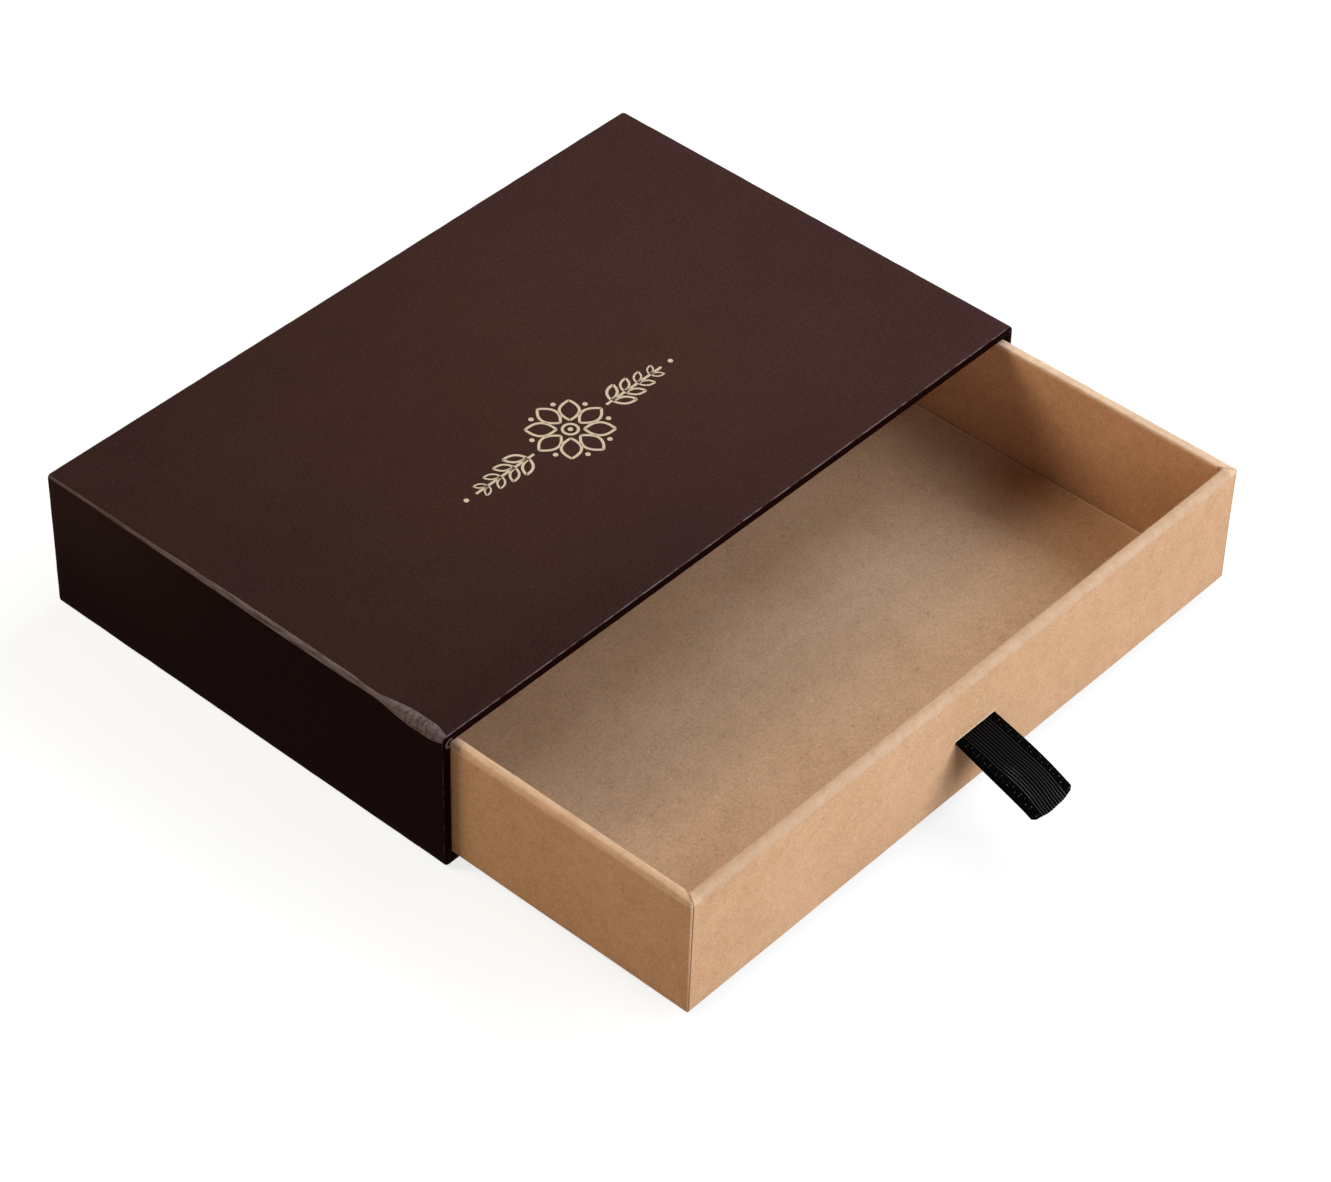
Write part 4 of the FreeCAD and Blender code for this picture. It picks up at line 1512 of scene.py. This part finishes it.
@dataclass
class TopOrnament:
    """A cream ornament on the sleeve's top: a rosette between two leafy arms."""

    ink: bpy.types.Material
    level: float
    centre: Pair = (-4.0, -14.0)
    petals: int = 8
    petal_inner: float = 3.6
    petal_outer: float = 11.6
    petal_width: float = 5.2
    arm_start: float = 13.6
    arm_end: float = 37.5
    leaf_pairs: int = 4
    leaf_length: float = 6.8
    leaf_spread: float = 38.0
    stroke: float = 0.75
    relief: float = 0.08
    sunk: float = 0.02

    def petal(
        self,
        recipe: Recipe,
        inner: Wire,
        outer: Wire,
        width: Wire,
        profile: bpy.types.NodeSocket,
    ) -> bpy.types.NodeSocket:
        """Draw a pointed petal in outline along Y.

        Args:
            recipe: The tree to build in.
            inner: Where the petal starts.
            outer: Where it ends.
            width: How far each side bows out.
            profile: The stroke's section.

        Returns:
            The petal as a mesh.
        """
        middle = (inner + outer) * 0.5
        halves = []
        for side in (1.0, -1.0):
            ends = {"Start": recipe.vector(0.0, inner), "End": recipe.vector(0.0, outer)}
            bow = {"Middle": recipe.vector(width * side, middle), "Resolution": 14}
            curve = recipe.add("GeometryNodeCurveQuadraticBezier", {}, {**ends, **bow}).outputs[0]
            halves.append(recipe.strip(curve, profile))
        return recipe.join(*halves)

    def build(self) -> None:
        """Build the ornament with a node tree and lay it on the sleeve."""
        recipe = Recipe("top_ornament")
        stroke = recipe.size("Stroke", self.stroke * MM)
        relief = recipe.size("Relief", self.relief * MM)
        petals = recipe.size("Petals", self.petals)
        pairs = recipe.size("Leaf pairs", self.leaf_pairs)
        inner = recipe.size("Petal inner", self.petal_inner * MM)
        outer = recipe.size("Petal outer", self.petal_outer * MM)
        width = recipe.size("Petal width", self.petal_width * MM)
        start = recipe.size("Arm start", self.arm_start * MM)
        end = recipe.size("Arm end", self.arm_end * MM)
        leaf_size = recipe.size("Leaf length", self.leaf_length * MM)
        shape = {"Width": stroke, "Height": relief}
        profile = recipe.add("GeometryNodeCurvePrimitiveQuadrilateral", {}, shape).outputs[0]
        petal = self.petal(recipe, inner, outer, width, profile)
        spin = recipe.index() * (2.0 * math.pi) / petals
        rosette = recipe.repeat(petals, petal, turn=recipe.vector(z=spin))
        hub = {"Resolution": 40, "Radius": inner * 0.58}
        hub_line = recipe.add("GeometryNodeCurvePrimitiveCircle", {}, hub).outputs[0]
        hub_ring = recipe.strip(hub_line, profile)
        disc = {"Vertices": 20, "Radius": stroke * 0.95, "Depth": relief}
        dot = recipe.add("GeometryNodeMeshCylinder", {}, disc).outputs[0]
        between = (recipe.index() + 0.5) * (2.0 * math.pi) / petals
        ring = outer * 0.93
        around = recipe.vector(*(recipe.math(part, between) * ring for part in ("COSINE", "SINE")))
        dots = recipe.repeat(petals, dot, place=around)
        arm = self.arm(recipe, start, end, leaf_size, pairs, profile, dot)
        arms = recipe.repeat(2, arm, turn=recipe.vector(z=recipe.index() * math.pi))
        whole = recipe.join(rosette, hub_ring, dot, dots, arms)
        lift = relief * 0.5 + (self.level - self.sunk) * MM
        place = recipe.vector(self.centre[0] * MM, self.centre[1] * MM, lift)
        laid = {"Geometry": whole, "Translation": place}
        set_down = recipe.add("GeometryNodeTransform", {}, laid).outputs[0]
        piece = new_piece("sleeve_top_ornament", np.zeros((1, 3)), [])
        recipe.make(piece, set_down, self.ink)
        soften(piece)
        place_on(piece, "sleeve")

    def arm(
        self,
        recipe: Recipe,
        start: Wire,
        end: Wire,
        leaf_size: Wire,
        pairs: Wire,
        profile: bpy.types.NodeSocket,
        dot: bpy.types.NodeSocket,
    ) -> bpy.types.NodeSocket:
        """Draw one arm: a stem with pairs of leaves that grow smaller, and a dot at its end.

        Args:
            recipe: The tree to build in.
            start: Where the arm starts.
            end: Where it ends.
            leaf_size: The longest leaf's length.
            pairs: How many pairs of leaves it has.
            profile: The stroke's section.
            dot: The dot at its end.

        Returns:
            The arm along X.
        """
        ends = {"Start": recipe.vector(start), "End": recipe.vector(end - leaf_size * 0.4)}
        line = recipe.add("GeometryNodeCurvePrimitiveLine", {}, ends).outputs[0]
        stem = recipe.strip(line, profile)
        leaf = self.petal(recipe, leaf_size * 0.1, leaf_size, leaf_size * 0.4, profile)
        number = recipe.index()
        pitch = (end - start - leaf_size * 0.6) / pairs
        place = recipe.vector(start + pitch * (number + 0.35))
        size = 1.0 - number * 0.14
        parts = [stem]
        for side in (1.0, -1.0):
            turn = recipe.vector(z=side * math.radians(self.leaf_spread) - math.pi / 2)
            scale = recipe.vector(size, size, 1.0)
            parts.append(recipe.repeat(pairs, leaf, place=place, turn=turn, scale=scale))
        parts.append(recipe.repeat(1, dot, place=recipe.vector(end + leaf_size * 0.12)))
        return recipe.join(*parts)


# The drawer


@dataclass
class Tray:
    """The kraft tray: side paper, front and back papers, base and floor sheets."""

    paper: bpy.types.Material
    liner: bpy.types.Material
    wall: float = 2.9
    corner: float = 0.55
    base_radius: float = 1.0
    rim_outer: float = 0.6
    rim_inner: float = 0.55
    rim_roll: float = 1.8
    roll_run: float = 11.0
    sink_most: float = 0.1
    wave: Pair = (0.045, 24.0)
    lumps: Pair = (0.09, 8.0)
    small_lumps: Pair = (0.045, 2.6)
    corner_roll: float = 0.25
    right_roll: float = 0.1
    tail_bump: float = 0.3
    tail_level: float = 22.2
    grid: float = 1.8
    flap: float = 14.0
    base_proud: float = 0.06
    floor_level: float = 5.1
    floor_trim: float = 0.35
    floor_lift: float = 0.35
    overlap_proud: float = 0.16
    seam_in: float = 0.35
    seam_lean: float = 0.6
    slit_reach: float = 7.8
    slit_low: float = 21.7
    slit_high: float = 22.7

    def __post_init__(self) -> None:
        """Read the outer sizes from the frame."""
        self.low, self.high = node_box("tray_wrap")

    def build(self) -> None:
        """Build and dress the tray's pieces."""
        self.side_paper()
        self.end_paper("tray_front_paper", -1.0)
        self.end_paper("tray_back_paper", 1.0)
        self.base_sheet()
        self.floor_sheet()

    def profile(self) -> Profile:
        """Draw the paper's path: flap underneath, outer wall, over the rim and down inside.

        Returns:
            The path as insets and levels.
        """
        base = float(self.low[2]) + self.overlap_proud
        rim = float(self.high[2])
        path = Profile(self.flap, base).line(self.base_radius, base)
        path.turn(0.0, base + self.base_radius, (self.base_radius, base + self.base_radius), 5)
        path.line(0.0, self.slit_low).line(0.0, self.slit_high, 0.5)
        path.line(0.0, rim - 3.6).line(0.0, rim - self.rim_outer, 0.42)
        path.turn(self.rim_outer, rim, (self.rim_outer, rim - self.rim_outer), 7)
        inner, below = self.wall - self.rim_inner, rim - self.rim_inner
        path.line(inner, rim, 0.35).turn(self.wall, below, (inner, below), 5)
        return path.line(self.wall, self.floor_level - 0.3)

    def relief(self, points: np.ndarray) -> np.ndarray:
        """Say how far the paper stands out: slow waves, a rolled rim and the glued ribbon's bump.

        The rim's outer edge is pressed round, less so towards the box's corners and on the right.

        Args:
            points: Places in millimetres.

        Returns:
            One height for each point.
        """
        x, y, z = points[..., 0], points[..., 1], points[..., 2]
        rim = ramp(z, self.high[2] - 2.2, self.high[2] - 0.6)
        uneven = ((self.wave, 3.0), (self.lumps, 4.0), (self.small_lumps, 5.0))
        waves, large, small = (
            height * ripple(points, size, seed) for (height, size), seed in uneven
        )
        lumps = (large + small) * rim
        aside, ahead = self.high[0] - np.abs(x), np.minimum(y - self.low[1], self.high[1] - y)
        near, drop = np.minimum(aside, ahead), self.high[2] - z
        past = np.hypot(self.rim_roll - near, self.rim_roll - drop) - self.rim_roll
        rolled = (near < self.rim_roll) & (drop < self.rim_roll) & (past > 0)
        along = ramp(np.maximum(aside, ahead), 0.6, self.roll_run)
        share = self.corner_roll + (1.0 - self.corner_roll) * along
        share = np.where((x > 0) & (aside < ahead), self.right_roll, share)
        slack = 1.0 - 0.3 * np.abs(ripple(points, 9.0, 6.0))
        roll = np.where(rolled, past, 0.0) * share * slack
        inner = np.abs(y - (self.low[1] + self.wall)) < 0.4
        bump = ramp(np.abs(x), 8.6, 7.4) * ramp(np.abs(z - self.tail_level), 10.2, 8.8)
        waves_up = np.maximum(waves + lumps, -self.sink_most)
        return waves_up + bump * self.tail_bump * inner - roll

    def in_slit(self, middle: np.ndarray) -> bool:
        """Say whether a face of the front lies in the ribbon's slit.

        Args:
            middle: The face's middle.

        Returns:
            Whether it lies there.
        """
        return bool(
            abs(middle[0]) < self.slit_reach
            and self.slit_low < middle[2] < self.slit_high
            and middle[1] < self.low[1] + 1.0
        )

    def side_paper(self) -> None:
        """Wrap the kraft paper round the tray and over its rim."""
        half = (self.high - self.low) / 2
        middle = (self.high + self.low) / 2
        ring = Ring(
            (float(half[0]), float(half[1])),
            (float(middle[0]), float(middle[1])),
            lambda corner, along: self.corner,
            self.grid,
            (-self.slit_reach, self.slit_reach),
        )
        paper = Paper.wrapped(ring, self.profile().array(), Axis.UPWARD)
        paper.face_towards(Vector((1, 0, 0)))
        piece = paper.press(self.relief).piece("tray_side_paper", self.in_slit)
        place_on(piece, "drawer", ["tray_wrap"], self.paper)

    def end_paper(self, name: str, side: float) -> None:
        """Lay the paper of the front or back over the side paper, mitred along the rim.

        Args:
            name: The piece's name.
            side: -1 for the front and 1 for the back.
        """
        path = self.profile()
        under, over = path.array(), path.proud(self.overlap_proud)
        reach = float(self.high[0])
        if over[len(over) // 3][0] > under[len(over) // 3][0]:
            over = path.proud(-self.overlap_proud)
        height = float(self.high[2] - self.low[2])
        face = float(self.low[1] if side < 0 else self.high[1])
        base = spread(reach, self.grid, (-self.slit_reach, self.slit_reach))
        upper_rows, lower_rows = [], []
        for (inset, level), (inset_out, level_out) in zip(under, over):
            seam = self.seam_in + self.seam_lean * (level - self.low[2]) / height
            edge = reach - max(inset + 0.04, seam)
            xs = refit(base, reach, edge, edge)
            upper_rows.append(across_row(xs, face - side * inset_out, level_out))
            lower_rows.append(across_row(xs, face - side * inset, level))
        upper, lower = np.array(upper_rows), np.array(lower_rows)
        upper[0, :, 2] = upper[1, :, 2]
        paper = Paper(upper, False).face_towards(Vector((0, side, 0)))
        if not np.allclose(paper.points, upper):
            lower = lower[::-1]
        paper.points = paper.points + paper.normals * self.relief(lower)[..., None]
        hole = self.in_slit if side < 0 else (lambda middle: False)
        piece = paper.piece(name, hole)
        place_on(piece, "drawer", ["tray_wrap"], self.paper)

    def base_sheet(self) -> None:
        """Cover the tray's underside between the flaps."""
        low, high = node_box("tray_base_paper")
        sheet = CutSheet(low[:2], high[:2], -1.0, float(low[2]) - self.base_proud)
        piece = sheet.paper(2).piece("tray_base_sheet")
        place_on(piece, "drawer", ["tray_base_paper"], self.paper)

    def floor_sheet(self) -> None:
        """Lay the floor's sheet, which turns up a little where it meets the walls."""
        low, high = node_box("tray_floor_liner")
        low, high = low[:2] + self.floor_trim, high[:2] - self.floor_trim
        sheet = CutSheet(low, high, 1.0, self.floor_level, lift=self.floor_lift, pitch=2.5)
        piece = sheet.paper(2).piece("tray_floor_sheet")
        place_on(piece, "drawer", ["tray_floor_liner"], self.liner)


# The ribbon


@dataclass
class RibbonPull:
    """The folded black ribbon: its ground cloth, and the ribs and selvedge stitches on it."""

    ground: bpy.types.Material
    yarn: bpy.types.Material
    width: float = 15.0
    cloth: float = 0.26
    tail: float = 9.0
    glue_line: float = -143.1
    slit_face: float = -146.0
    level: float = 22.2
    bends: tuple[Pair, Pair] = ((-154.0, 19.6), (-163.5, 16.8))
    tip: Pair = (-170.9, 13.2)
    tuck: float = 0.5
    layer_gap: float = 0.24
    loop_swell: float = 0.32
    tip_swell: float = 0.12
    line_steps: int = 34
    fold_steps: int = 8
    ribs: int = 11
    rib_pitch: float = 0.92
    rib_height: float = 0.23
    stitch_pitch: float = 1.25
    stitch_in: float = 1.45
    stitch_rows: tuple[Pair, Pair] = ((-0.38, 0.0), (0.42, 1.7))
    columns: int = 16
    free_from: float = -150.0
    crown: float = 0.3
    twist: float = 0.02
    cockle: float = 0.12
    sway: float = 0.42
    wander: float = 0.3
    tip_drop: float = 0.5
    tip_bulge: float = 0.95
    corner_share: float = 0.12
    corner_back: float = 0.4
    corner_lift: float = 0.2

    def droop(self, share: float) -> tuple[np.ndarray, np.ndarray]:
        """Read the middle line between the ribbon's two layers.

        Args:
            share: How far along the way to the tip.

        Returns:
            The place and the upward normal there.
        """
        a, b, c, d = np.array([(self.slit_face, self.level), *self.bends, self.tip])
        s, r = share, 1.0 - share
        place = r**3 * a + 3 * r * r * s * b + 3 * r * s * s * c + s**3 * d
        ahead = 3 * (r * r * (b - a) + 2 * r * s * (c - b) + s * s * (d - c))
        ahead /= np.linalg.norm(ahead)
        return place, np.array([ahead[1], -ahead[0]])

    def path(self) -> list[Pair]:
        """Draw the ribbon's line from its upper glued end, round the fold, to its lower one.

        Returns:
            The line's points.
        """
        layer, behind = self.level + self.layer_gap, self.glue_line - self.tuck
        upper = Profile(self.glue_line, self.level + self.tail)
        upper.line(self.glue_line, layer + self.tuck, 0.8)
        upper.turn(behind, layer, (behind, layer + self.tuck), 4)
        upper.line(self.slit_face + 0.2, layer, 0.6)
        out: list[Pair] = []
        back: list[Pair] = []
        for n in range(self.line_steps + 1):
            share = n / self.line_steps
            place, up = self.droop(share)
            swell = self.loop_swell * math.sin(math.pi * min(1.0, share * 1.1))
            gap = self.layer_gap + swell + self.tip_swell * share
            out.append(tuple(place + up * gap))
            back.append(tuple(place - up * gap))
        end, up = self.droop(1.0)
        ahead = np.array([-up[1], up[0]])
        gap = float(np.linalg.norm(np.array(out[-1]) - end))
        if ahead @ (end - self.droop(0.9)[0]) < 0:
            ahead = -ahead
        fold = []
        for n in range(1, self.fold_steps):
            angle = math.pi * n / self.fold_steps
            fold.append(tuple(end + up * gap * math.cos(angle) + ahead * gap * math.sin(angle)))
        lower = [(y, 2 * self.level - z) for y, z in upper.points[::-1]]
        return upper.points + out + fold + back[::-1] + lower

    def hang(self, points: np.ndarray) -> np.ndarray:
        """Shape the ribbon from a straight fold: crown, twist, waves and a bulging tip.

        Args:
            points: Places on the straight fold, in millimetres.

        Returns:
            The shaped places.
        """
        x, y, z = (points[..., n].copy() for n in range(3))
        reach = ramp(y, -148.0, -169.0)
        tip = ramp(y, -160.0, -170.5)
        side = np.abs(x) / (self.width / 2)
        bulge = 1.0 - side**2
        corner = (np.maximum(side - (1.0 - self.corner_share), 0.0) / self.corner_share) ** 2
        z += (self.twist * x + self.crown * bulge) * reach - tip * self.tip_drop * bulge
        z += self.cockle * np.sin(x * 1.1 + 0.6) * reach
        y += tip * (self.corner_back * corner - self.tip_bulge * bulge)
        z += tip * self.corner_lift * corner
        sway = self.sway * np.sin((y - self.free_from) * 0.34)
        x += (sway + self.wander * ripple(points, 7.0, 9.0)) * reach * bulge
        return np.stack([x, y, z], axis=-1)

    def reshape(self, piece: bpy.types.Object) -> None:
        """Give a piece's mesh the ribbon's hang.

        Args:
            piece: The ground cloth or the weave on it.
        """
        mesh = piece.data
        flat = np.zeros(len(mesh.vertices) * 3)
        mesh.vertices.foreach_get("co", flat)
        shaped = self.hang(flat.reshape(-1, 3) / MM) * MM
        mesh.vertices.foreach_set("co", shaped.ravel())
        mesh.update()

    def build(self) -> None:
        """Build and dress the ribbon."""
        line = np.array(self.path())
        xs = np.linspace(-self.width / 2, self.width / 2, self.columns + 1)
        rows = [across_row(xs, y, z) for y, z in line]
        grid = Paper(np.array(rows), False, thickness=self.cloth).face_towards(Vector((0, -1, 0)))
        grid.points = grid.points + grid.normals * self.cloth / 2
        ground = grid.piece("ribbon_pull")
        self.reshape(ground)
        weave = self.weave(line)
        self.reshape(weave)
        length = float(np.linalg.norm(np.diff(line, axis=0), axis=1).sum())
        for piece in (ground, weave):
            soften(piece, 60.0)
            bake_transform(piece)
        ground.data.materials.clear()
        ground.data.materials.append(self.ground)
        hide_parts("ribbon_loop", "ribbon_tails")
        faces = len(weave.data.polygons)
        LOG.info("ribbon of %.1f x %.1f mm, %d faces of weave", self.width, length, faces)

    def weave(self, line: np.ndarray) -> bpy.types.Object:
        """Lay ribs along the ribbon and rows of stitches on its two selvedges.

        Args:
            line: The ribbon's line, in millimetres.

        Returns:
            The ribs and stitches as one piece.
        """
        points = np.insert(line, 0, 0.0, axis=1)
        carrier = new_piece("ribbon_weave", points, [])
        mesh = bpy.data.meshes.new("ribbon_weave")
        edges = [(n, n + 1) for n in range(len(points) - 1)]
        mesh.from_pydata((points * MM).tolist(), edges, [])
        carrier.data = mesh
        recipe = Recipe("ribbon_weave")
        ribs = recipe.size("Ribs", self.ribs)
        pitch = recipe.size("Rib pitch", self.rib_pitch * MM)
        height = recipe.size("Rib height", self.rib_height * MM)
        stitch_pitch = recipe.size("Stitch pitch", self.stitch_pitch * MM)
        band = recipe.size("Band middle", (self.width / 2 - self.stitch_in) * MM)
        path = recipe.add("GeometryNodeMeshToCurve", {}, {0: recipe.entry.outputs[0]}).outputs[0]
        round_ = {"Resolution": 8, "Radius": height}
        circle = recipe.add("GeometryNodeCurvePrimitiveCircle", {}, round_).outputs[0]
        squeezed = {"Geometry": circle, "Scale": (0.7, 1.0, 1.0)}
        rib = recipe.strip(path, recipe.add("GeometryNodeTransform", {}, squeezed).outputs[0])
        across = (recipe.index() - (ribs - 1) * 0.5) * pitch
        laid = recipe.repeat(ribs, rib, place=recipe.vector(across))
        ball = {"Segments": 8, "Rings": 5, "Radius": height}
        bead = recipe.add("GeometryNodeMeshUVSphere", {}, ball).outputs[0]
        beads = []
        for offset, phase in self.stitch_rows:
            spaced = {"Curve": path, "Length": stitch_pitch}
            even = recipe.add("GeometryNodeCurveToPoints", {"mode": "LENGTH"}, spaced)
            swell = 0.84 + recipe.math("SINE", recipe.index() * 2.3 + phase) * 0.28
            sockets = {
                "Points": even.outputs["Points"],
                "Instance": bead,
                "Rotation": even.outputs["Rotation"],
                "Scale": recipe.vector(swell * 0.8, swell * 0.95, swell * 1.05),
            }
            stitch = recipe.add("GeometryNodeInstanceOnPoints", {}, sockets).outputs[0]
            for side in (1.0, -1.0):
                shift = recipe.vector((band + offset * MM) * side)
                moved = {"Geometry": stitch, "Translation": shift}
                beads.append(recipe.add("GeometryNodeTransform", {}, moved).outputs[0])
        recipe.make(carrier, recipe.join(laid, *beads), self.yarn)
        return carrier


# Carried-over nodes, studio and camera


def dress_nodes(finishes: Mapping[str, bpy.types.Material]) -> None:
    """Give each node of the frame that still shows its own finish.

    Args:
        finishes: The material of each of the record's slots.
    """
    slots = {row["node"]: row["material_slot"] for row in frame["record"]["subparts"]}
    for name, node in sorted(frame["nodes"].items()):
        if node.hide_render or slots.get(name) not in finishes:
            continue
        node.data.materials.clear()
        node.data.materials.append(finishes[slots[name]])
        LOG.info("%s is dressed as %s", name, slots[name])


@dataclass(frozen=True)
class Lamp:
    """A square soft lamp that looks at a point."""

    name: str
    place: Triple
    power: float
    tint: Colour
    aim: Triple = (0.0, -0.05, 0.02)
    size: float = 0.6

    def hang(self) -> None:
        """Put the lamp in the scene."""
        light = bpy.data.lights.new(self.name, "AREA")
        light.shape = "SQUARE"
        light.size = self.size
        light.energy = self.power
        light.color = self.tint
        lamp = bpy.data.objects.new(self.name, light)
        away = Vector(self.place) - Vector(self.aim)
        turned = away.to_track_quat("Z", "Y").to_matrix().to_4x4()
        lamp.matrix_world = Matrix.Translation(self.place) @ turned
        bpy.context.scene.collection.objects.link(lamp)


@dataclass
class Studio:
    """A pale floor, a surround that is seen white and gives no light, and soft lamps."""

    floor_reach: float = 6.0
    floor_level: float = -0.3
    floor_white: float = 0.78
    floor_fade: Pair = (330.0, 800.0)
    floor_lit: Colour = (0.34, 0.36, 0.40)
    floor_dim: Colour = (0.40, 0.38, 0.36)
    white: Colour = (1.0, 1.0, 1.0)
    lamps: tuple[Lamp, ...] = (
        Lamp("lamp_front_right", (0.54, -0.78, 0.744), 4.15, (1.0, 0.98, 0.90)),
        Lamp("lamp_back_left", (-0.6, 0.66, 0.804), 8.15, (1.0, 0.86, 0.60)),
        Lamp("lamp_right", (0.9, -0.06, 0.792), 7.41, (0.86, 0.965, 1.0)),
        Lamp("lamp_low_left", (-0.864, -0.744, 0.36), 1.65, (1.0, 0.81, 0.64)),
        Lamp("lamp_low_front", (0.18, -1.14, 0.30), 8.13, (0.85, 0.975, 1.0)),
    )

    def build(self) -> None:
        """Build the studio."""
        self.floor()
        self.air()
        for lamp in self.lamps:
            lamp.hang()
        bpy.context.scene.view_settings.view_transform = "Standard"

    def camera_ray(self, bench: Bench) -> Wire:
        """Tell the rays that see the surround from those that only light.

        Args:
            bench: The tree to build in.

        Returns:
            1 for rays from the camera or from a glossy or clear surface, and 0 for the rest.
        """
        path = bench.add("ShaderNodeLightPath")
        kinds = ("Is Camera Ray", "Is Glossy Ray", "Is Transmission Ray")
        camera, glossy, clear = (Wire(bench, path.outputs[kind]) for kind in kinds)
        return camera.high_of(glossy).high_of(clear)

    def floor(self) -> None:
        """Lay the floor, which looks near white and keeps the shadow."""
        reach = self.floor_reach / MM
        corners = ((-1, -1), (1, -1), (1, 1), (-1, 1))
        points = np.array([(x * reach, y * reach, self.floor_level) for x, y in corners])
        floor = new_piece("studio_floor", points, [(0, 1, 2, 3)])
        work = Surface("studio_floor_white")
        seen = self.camera_ray(work)
        lit, dim = (
            work.add("ShaderNodeBsdfDiffuse", {}, {"Color": (*tone, 1.0)})
            for tone in (self.floor_lit, self.floor_dim)
        )
        away = work.math("SQRT", work.x * work.x + work.y * work.y)
        white = work.step(away, *self.floor_fade) * (1.0 - self.floor_white) + self.floor_white
        glow = work.add("ShaderNodeEmission", {}, {"Color": (*self.white, 1.0), "Strength": white})
        shown = work.add("ShaderNodeAddShader", {}, {0: lit.outputs[0], 1: glow.outputs[0]})
        both = {0: seen, 1: dim.outputs[0], 2: shown.outputs[0]}
        whole = work.add("ShaderNodeMixShader", {}, both)
        work.add("ShaderNodeOutputMaterial", {}, {0: whole.outputs[0]})
        floor.data.materials.append(work.material)

    def air(self) -> None:
        """Show the surround white, and let it give no light."""
        world = bpy.data.worlds.new("studio_air")
        world.use_nodes = True
        bpy.context.scene.world = world
        bench = Bench(world.node_tree)
        world.node_tree.nodes.clear()
        shown = {"Color": (*self.white, 1.0), "Strength": self.camera_ray(bench)}
        back = bench.add("ShaderNodeBackground", {}, shown)
        bench.add("ShaderNodeOutputWorld", {}, {0: back.outputs[0]})


@dataclass(frozen=True)
class Viewpoint:
    """The photograph's camera."""

    place: Triple = (-0.61371, -0.574743, 0.742103)
    azimuth: float = -49.170419
    elevation: float = 42.311916
    roll: float = 1.776538
    lens: float = 114.246581
    sensor: float = 36.0
    clip: Pair = (0.05, 50.0)

    def build(self) -> None:
        """Set up the camera."""
        angles = (self.azimuth, self.elevation, self.roll)
        turn, rise, lean = (math.radians(angle) for angle in angles)
        run = math.cos(rise)
        back = Vector((math.sin(turn) * run, -math.cos(turn) * run, math.sin(rise)))
        level = Vector((math.cos(turn), math.sin(turn), 0.0))
        upright = back.cross(level)
        right = math.cos(lean) * level + math.sin(lean) * upright
        up = back.cross(right)
        data = bpy.data.cameras.new("viewpoint")
        data.lens = self.lens
        data.sensor_width = self.sensor
        data.sensor_fit = "HORIZONTAL"
        data.clip_start, data.clip_end = self.clip
        camera = bpy.data.objects.new("viewpoint", data)
        turned = Matrix((right, up, back)).transposed().to_4x4()
        camera.matrix_world = Matrix.Translation(self.place) @ turned
        bpy.context.scene.collection.objects.link(camera)
        bpy.context.scene.camera = camera


def main() -> None:
    """Build the looks round the frame."""
    logging.basicConfig(level=logging.INFO, format="%(name)s: %(message)s")
    kraft = Kraft(
        "kraft_paper_tan",
        tone=(0.653, 0.373, 0.224),
        cloud=(0.696, 0.403, 0.249),
        dark=(0.30, 0.15, 0.07),
        pale=(0.86, 0.625, 0.48),
        wear_and_painted_light=TrayWearAndPaintedLight(),
    ).make()
    liner = Kraft(
        "kraft_liner_grey",
        tone=(0.674, 0.426, 0.282),
        cloud=(0.716, 0.464, 0.317),
        dark=(0.28, 0.155, 0.08),
        pale=(0.80, 0.62, 0.46),
        grain=0.45,
        sheet_edge=101.9,
    ).make()
    dark = SleevePaper().make()
    ground = RibbonYarn("ribbon_ground_black", 0.6, 0.008).make()
    yarn = RibbonYarn("ribbon_rib_black", 0.24, 0.38, 0.002, tip_highlight_gain=0.8).make()
    Sleeve(dark, OrnamentInk().make()).build()
    Tray(kraft, liner).build()
    RibbonPull(ground, yarn).build()
    dress_nodes(
        {
            "greyboard": Board().make(),
            "stay_tape": StayTape().make(),
            "sleeve_lining": Lining().make(),
            "sleeve_paper": dark,
            "kraft_paper": kraft,
            "kraft_liner": liner,
            "ribbon": ground,
        }
    )
    Studio().build()
    Viewpoint().build()


if __name__ == "__main__":
    main()
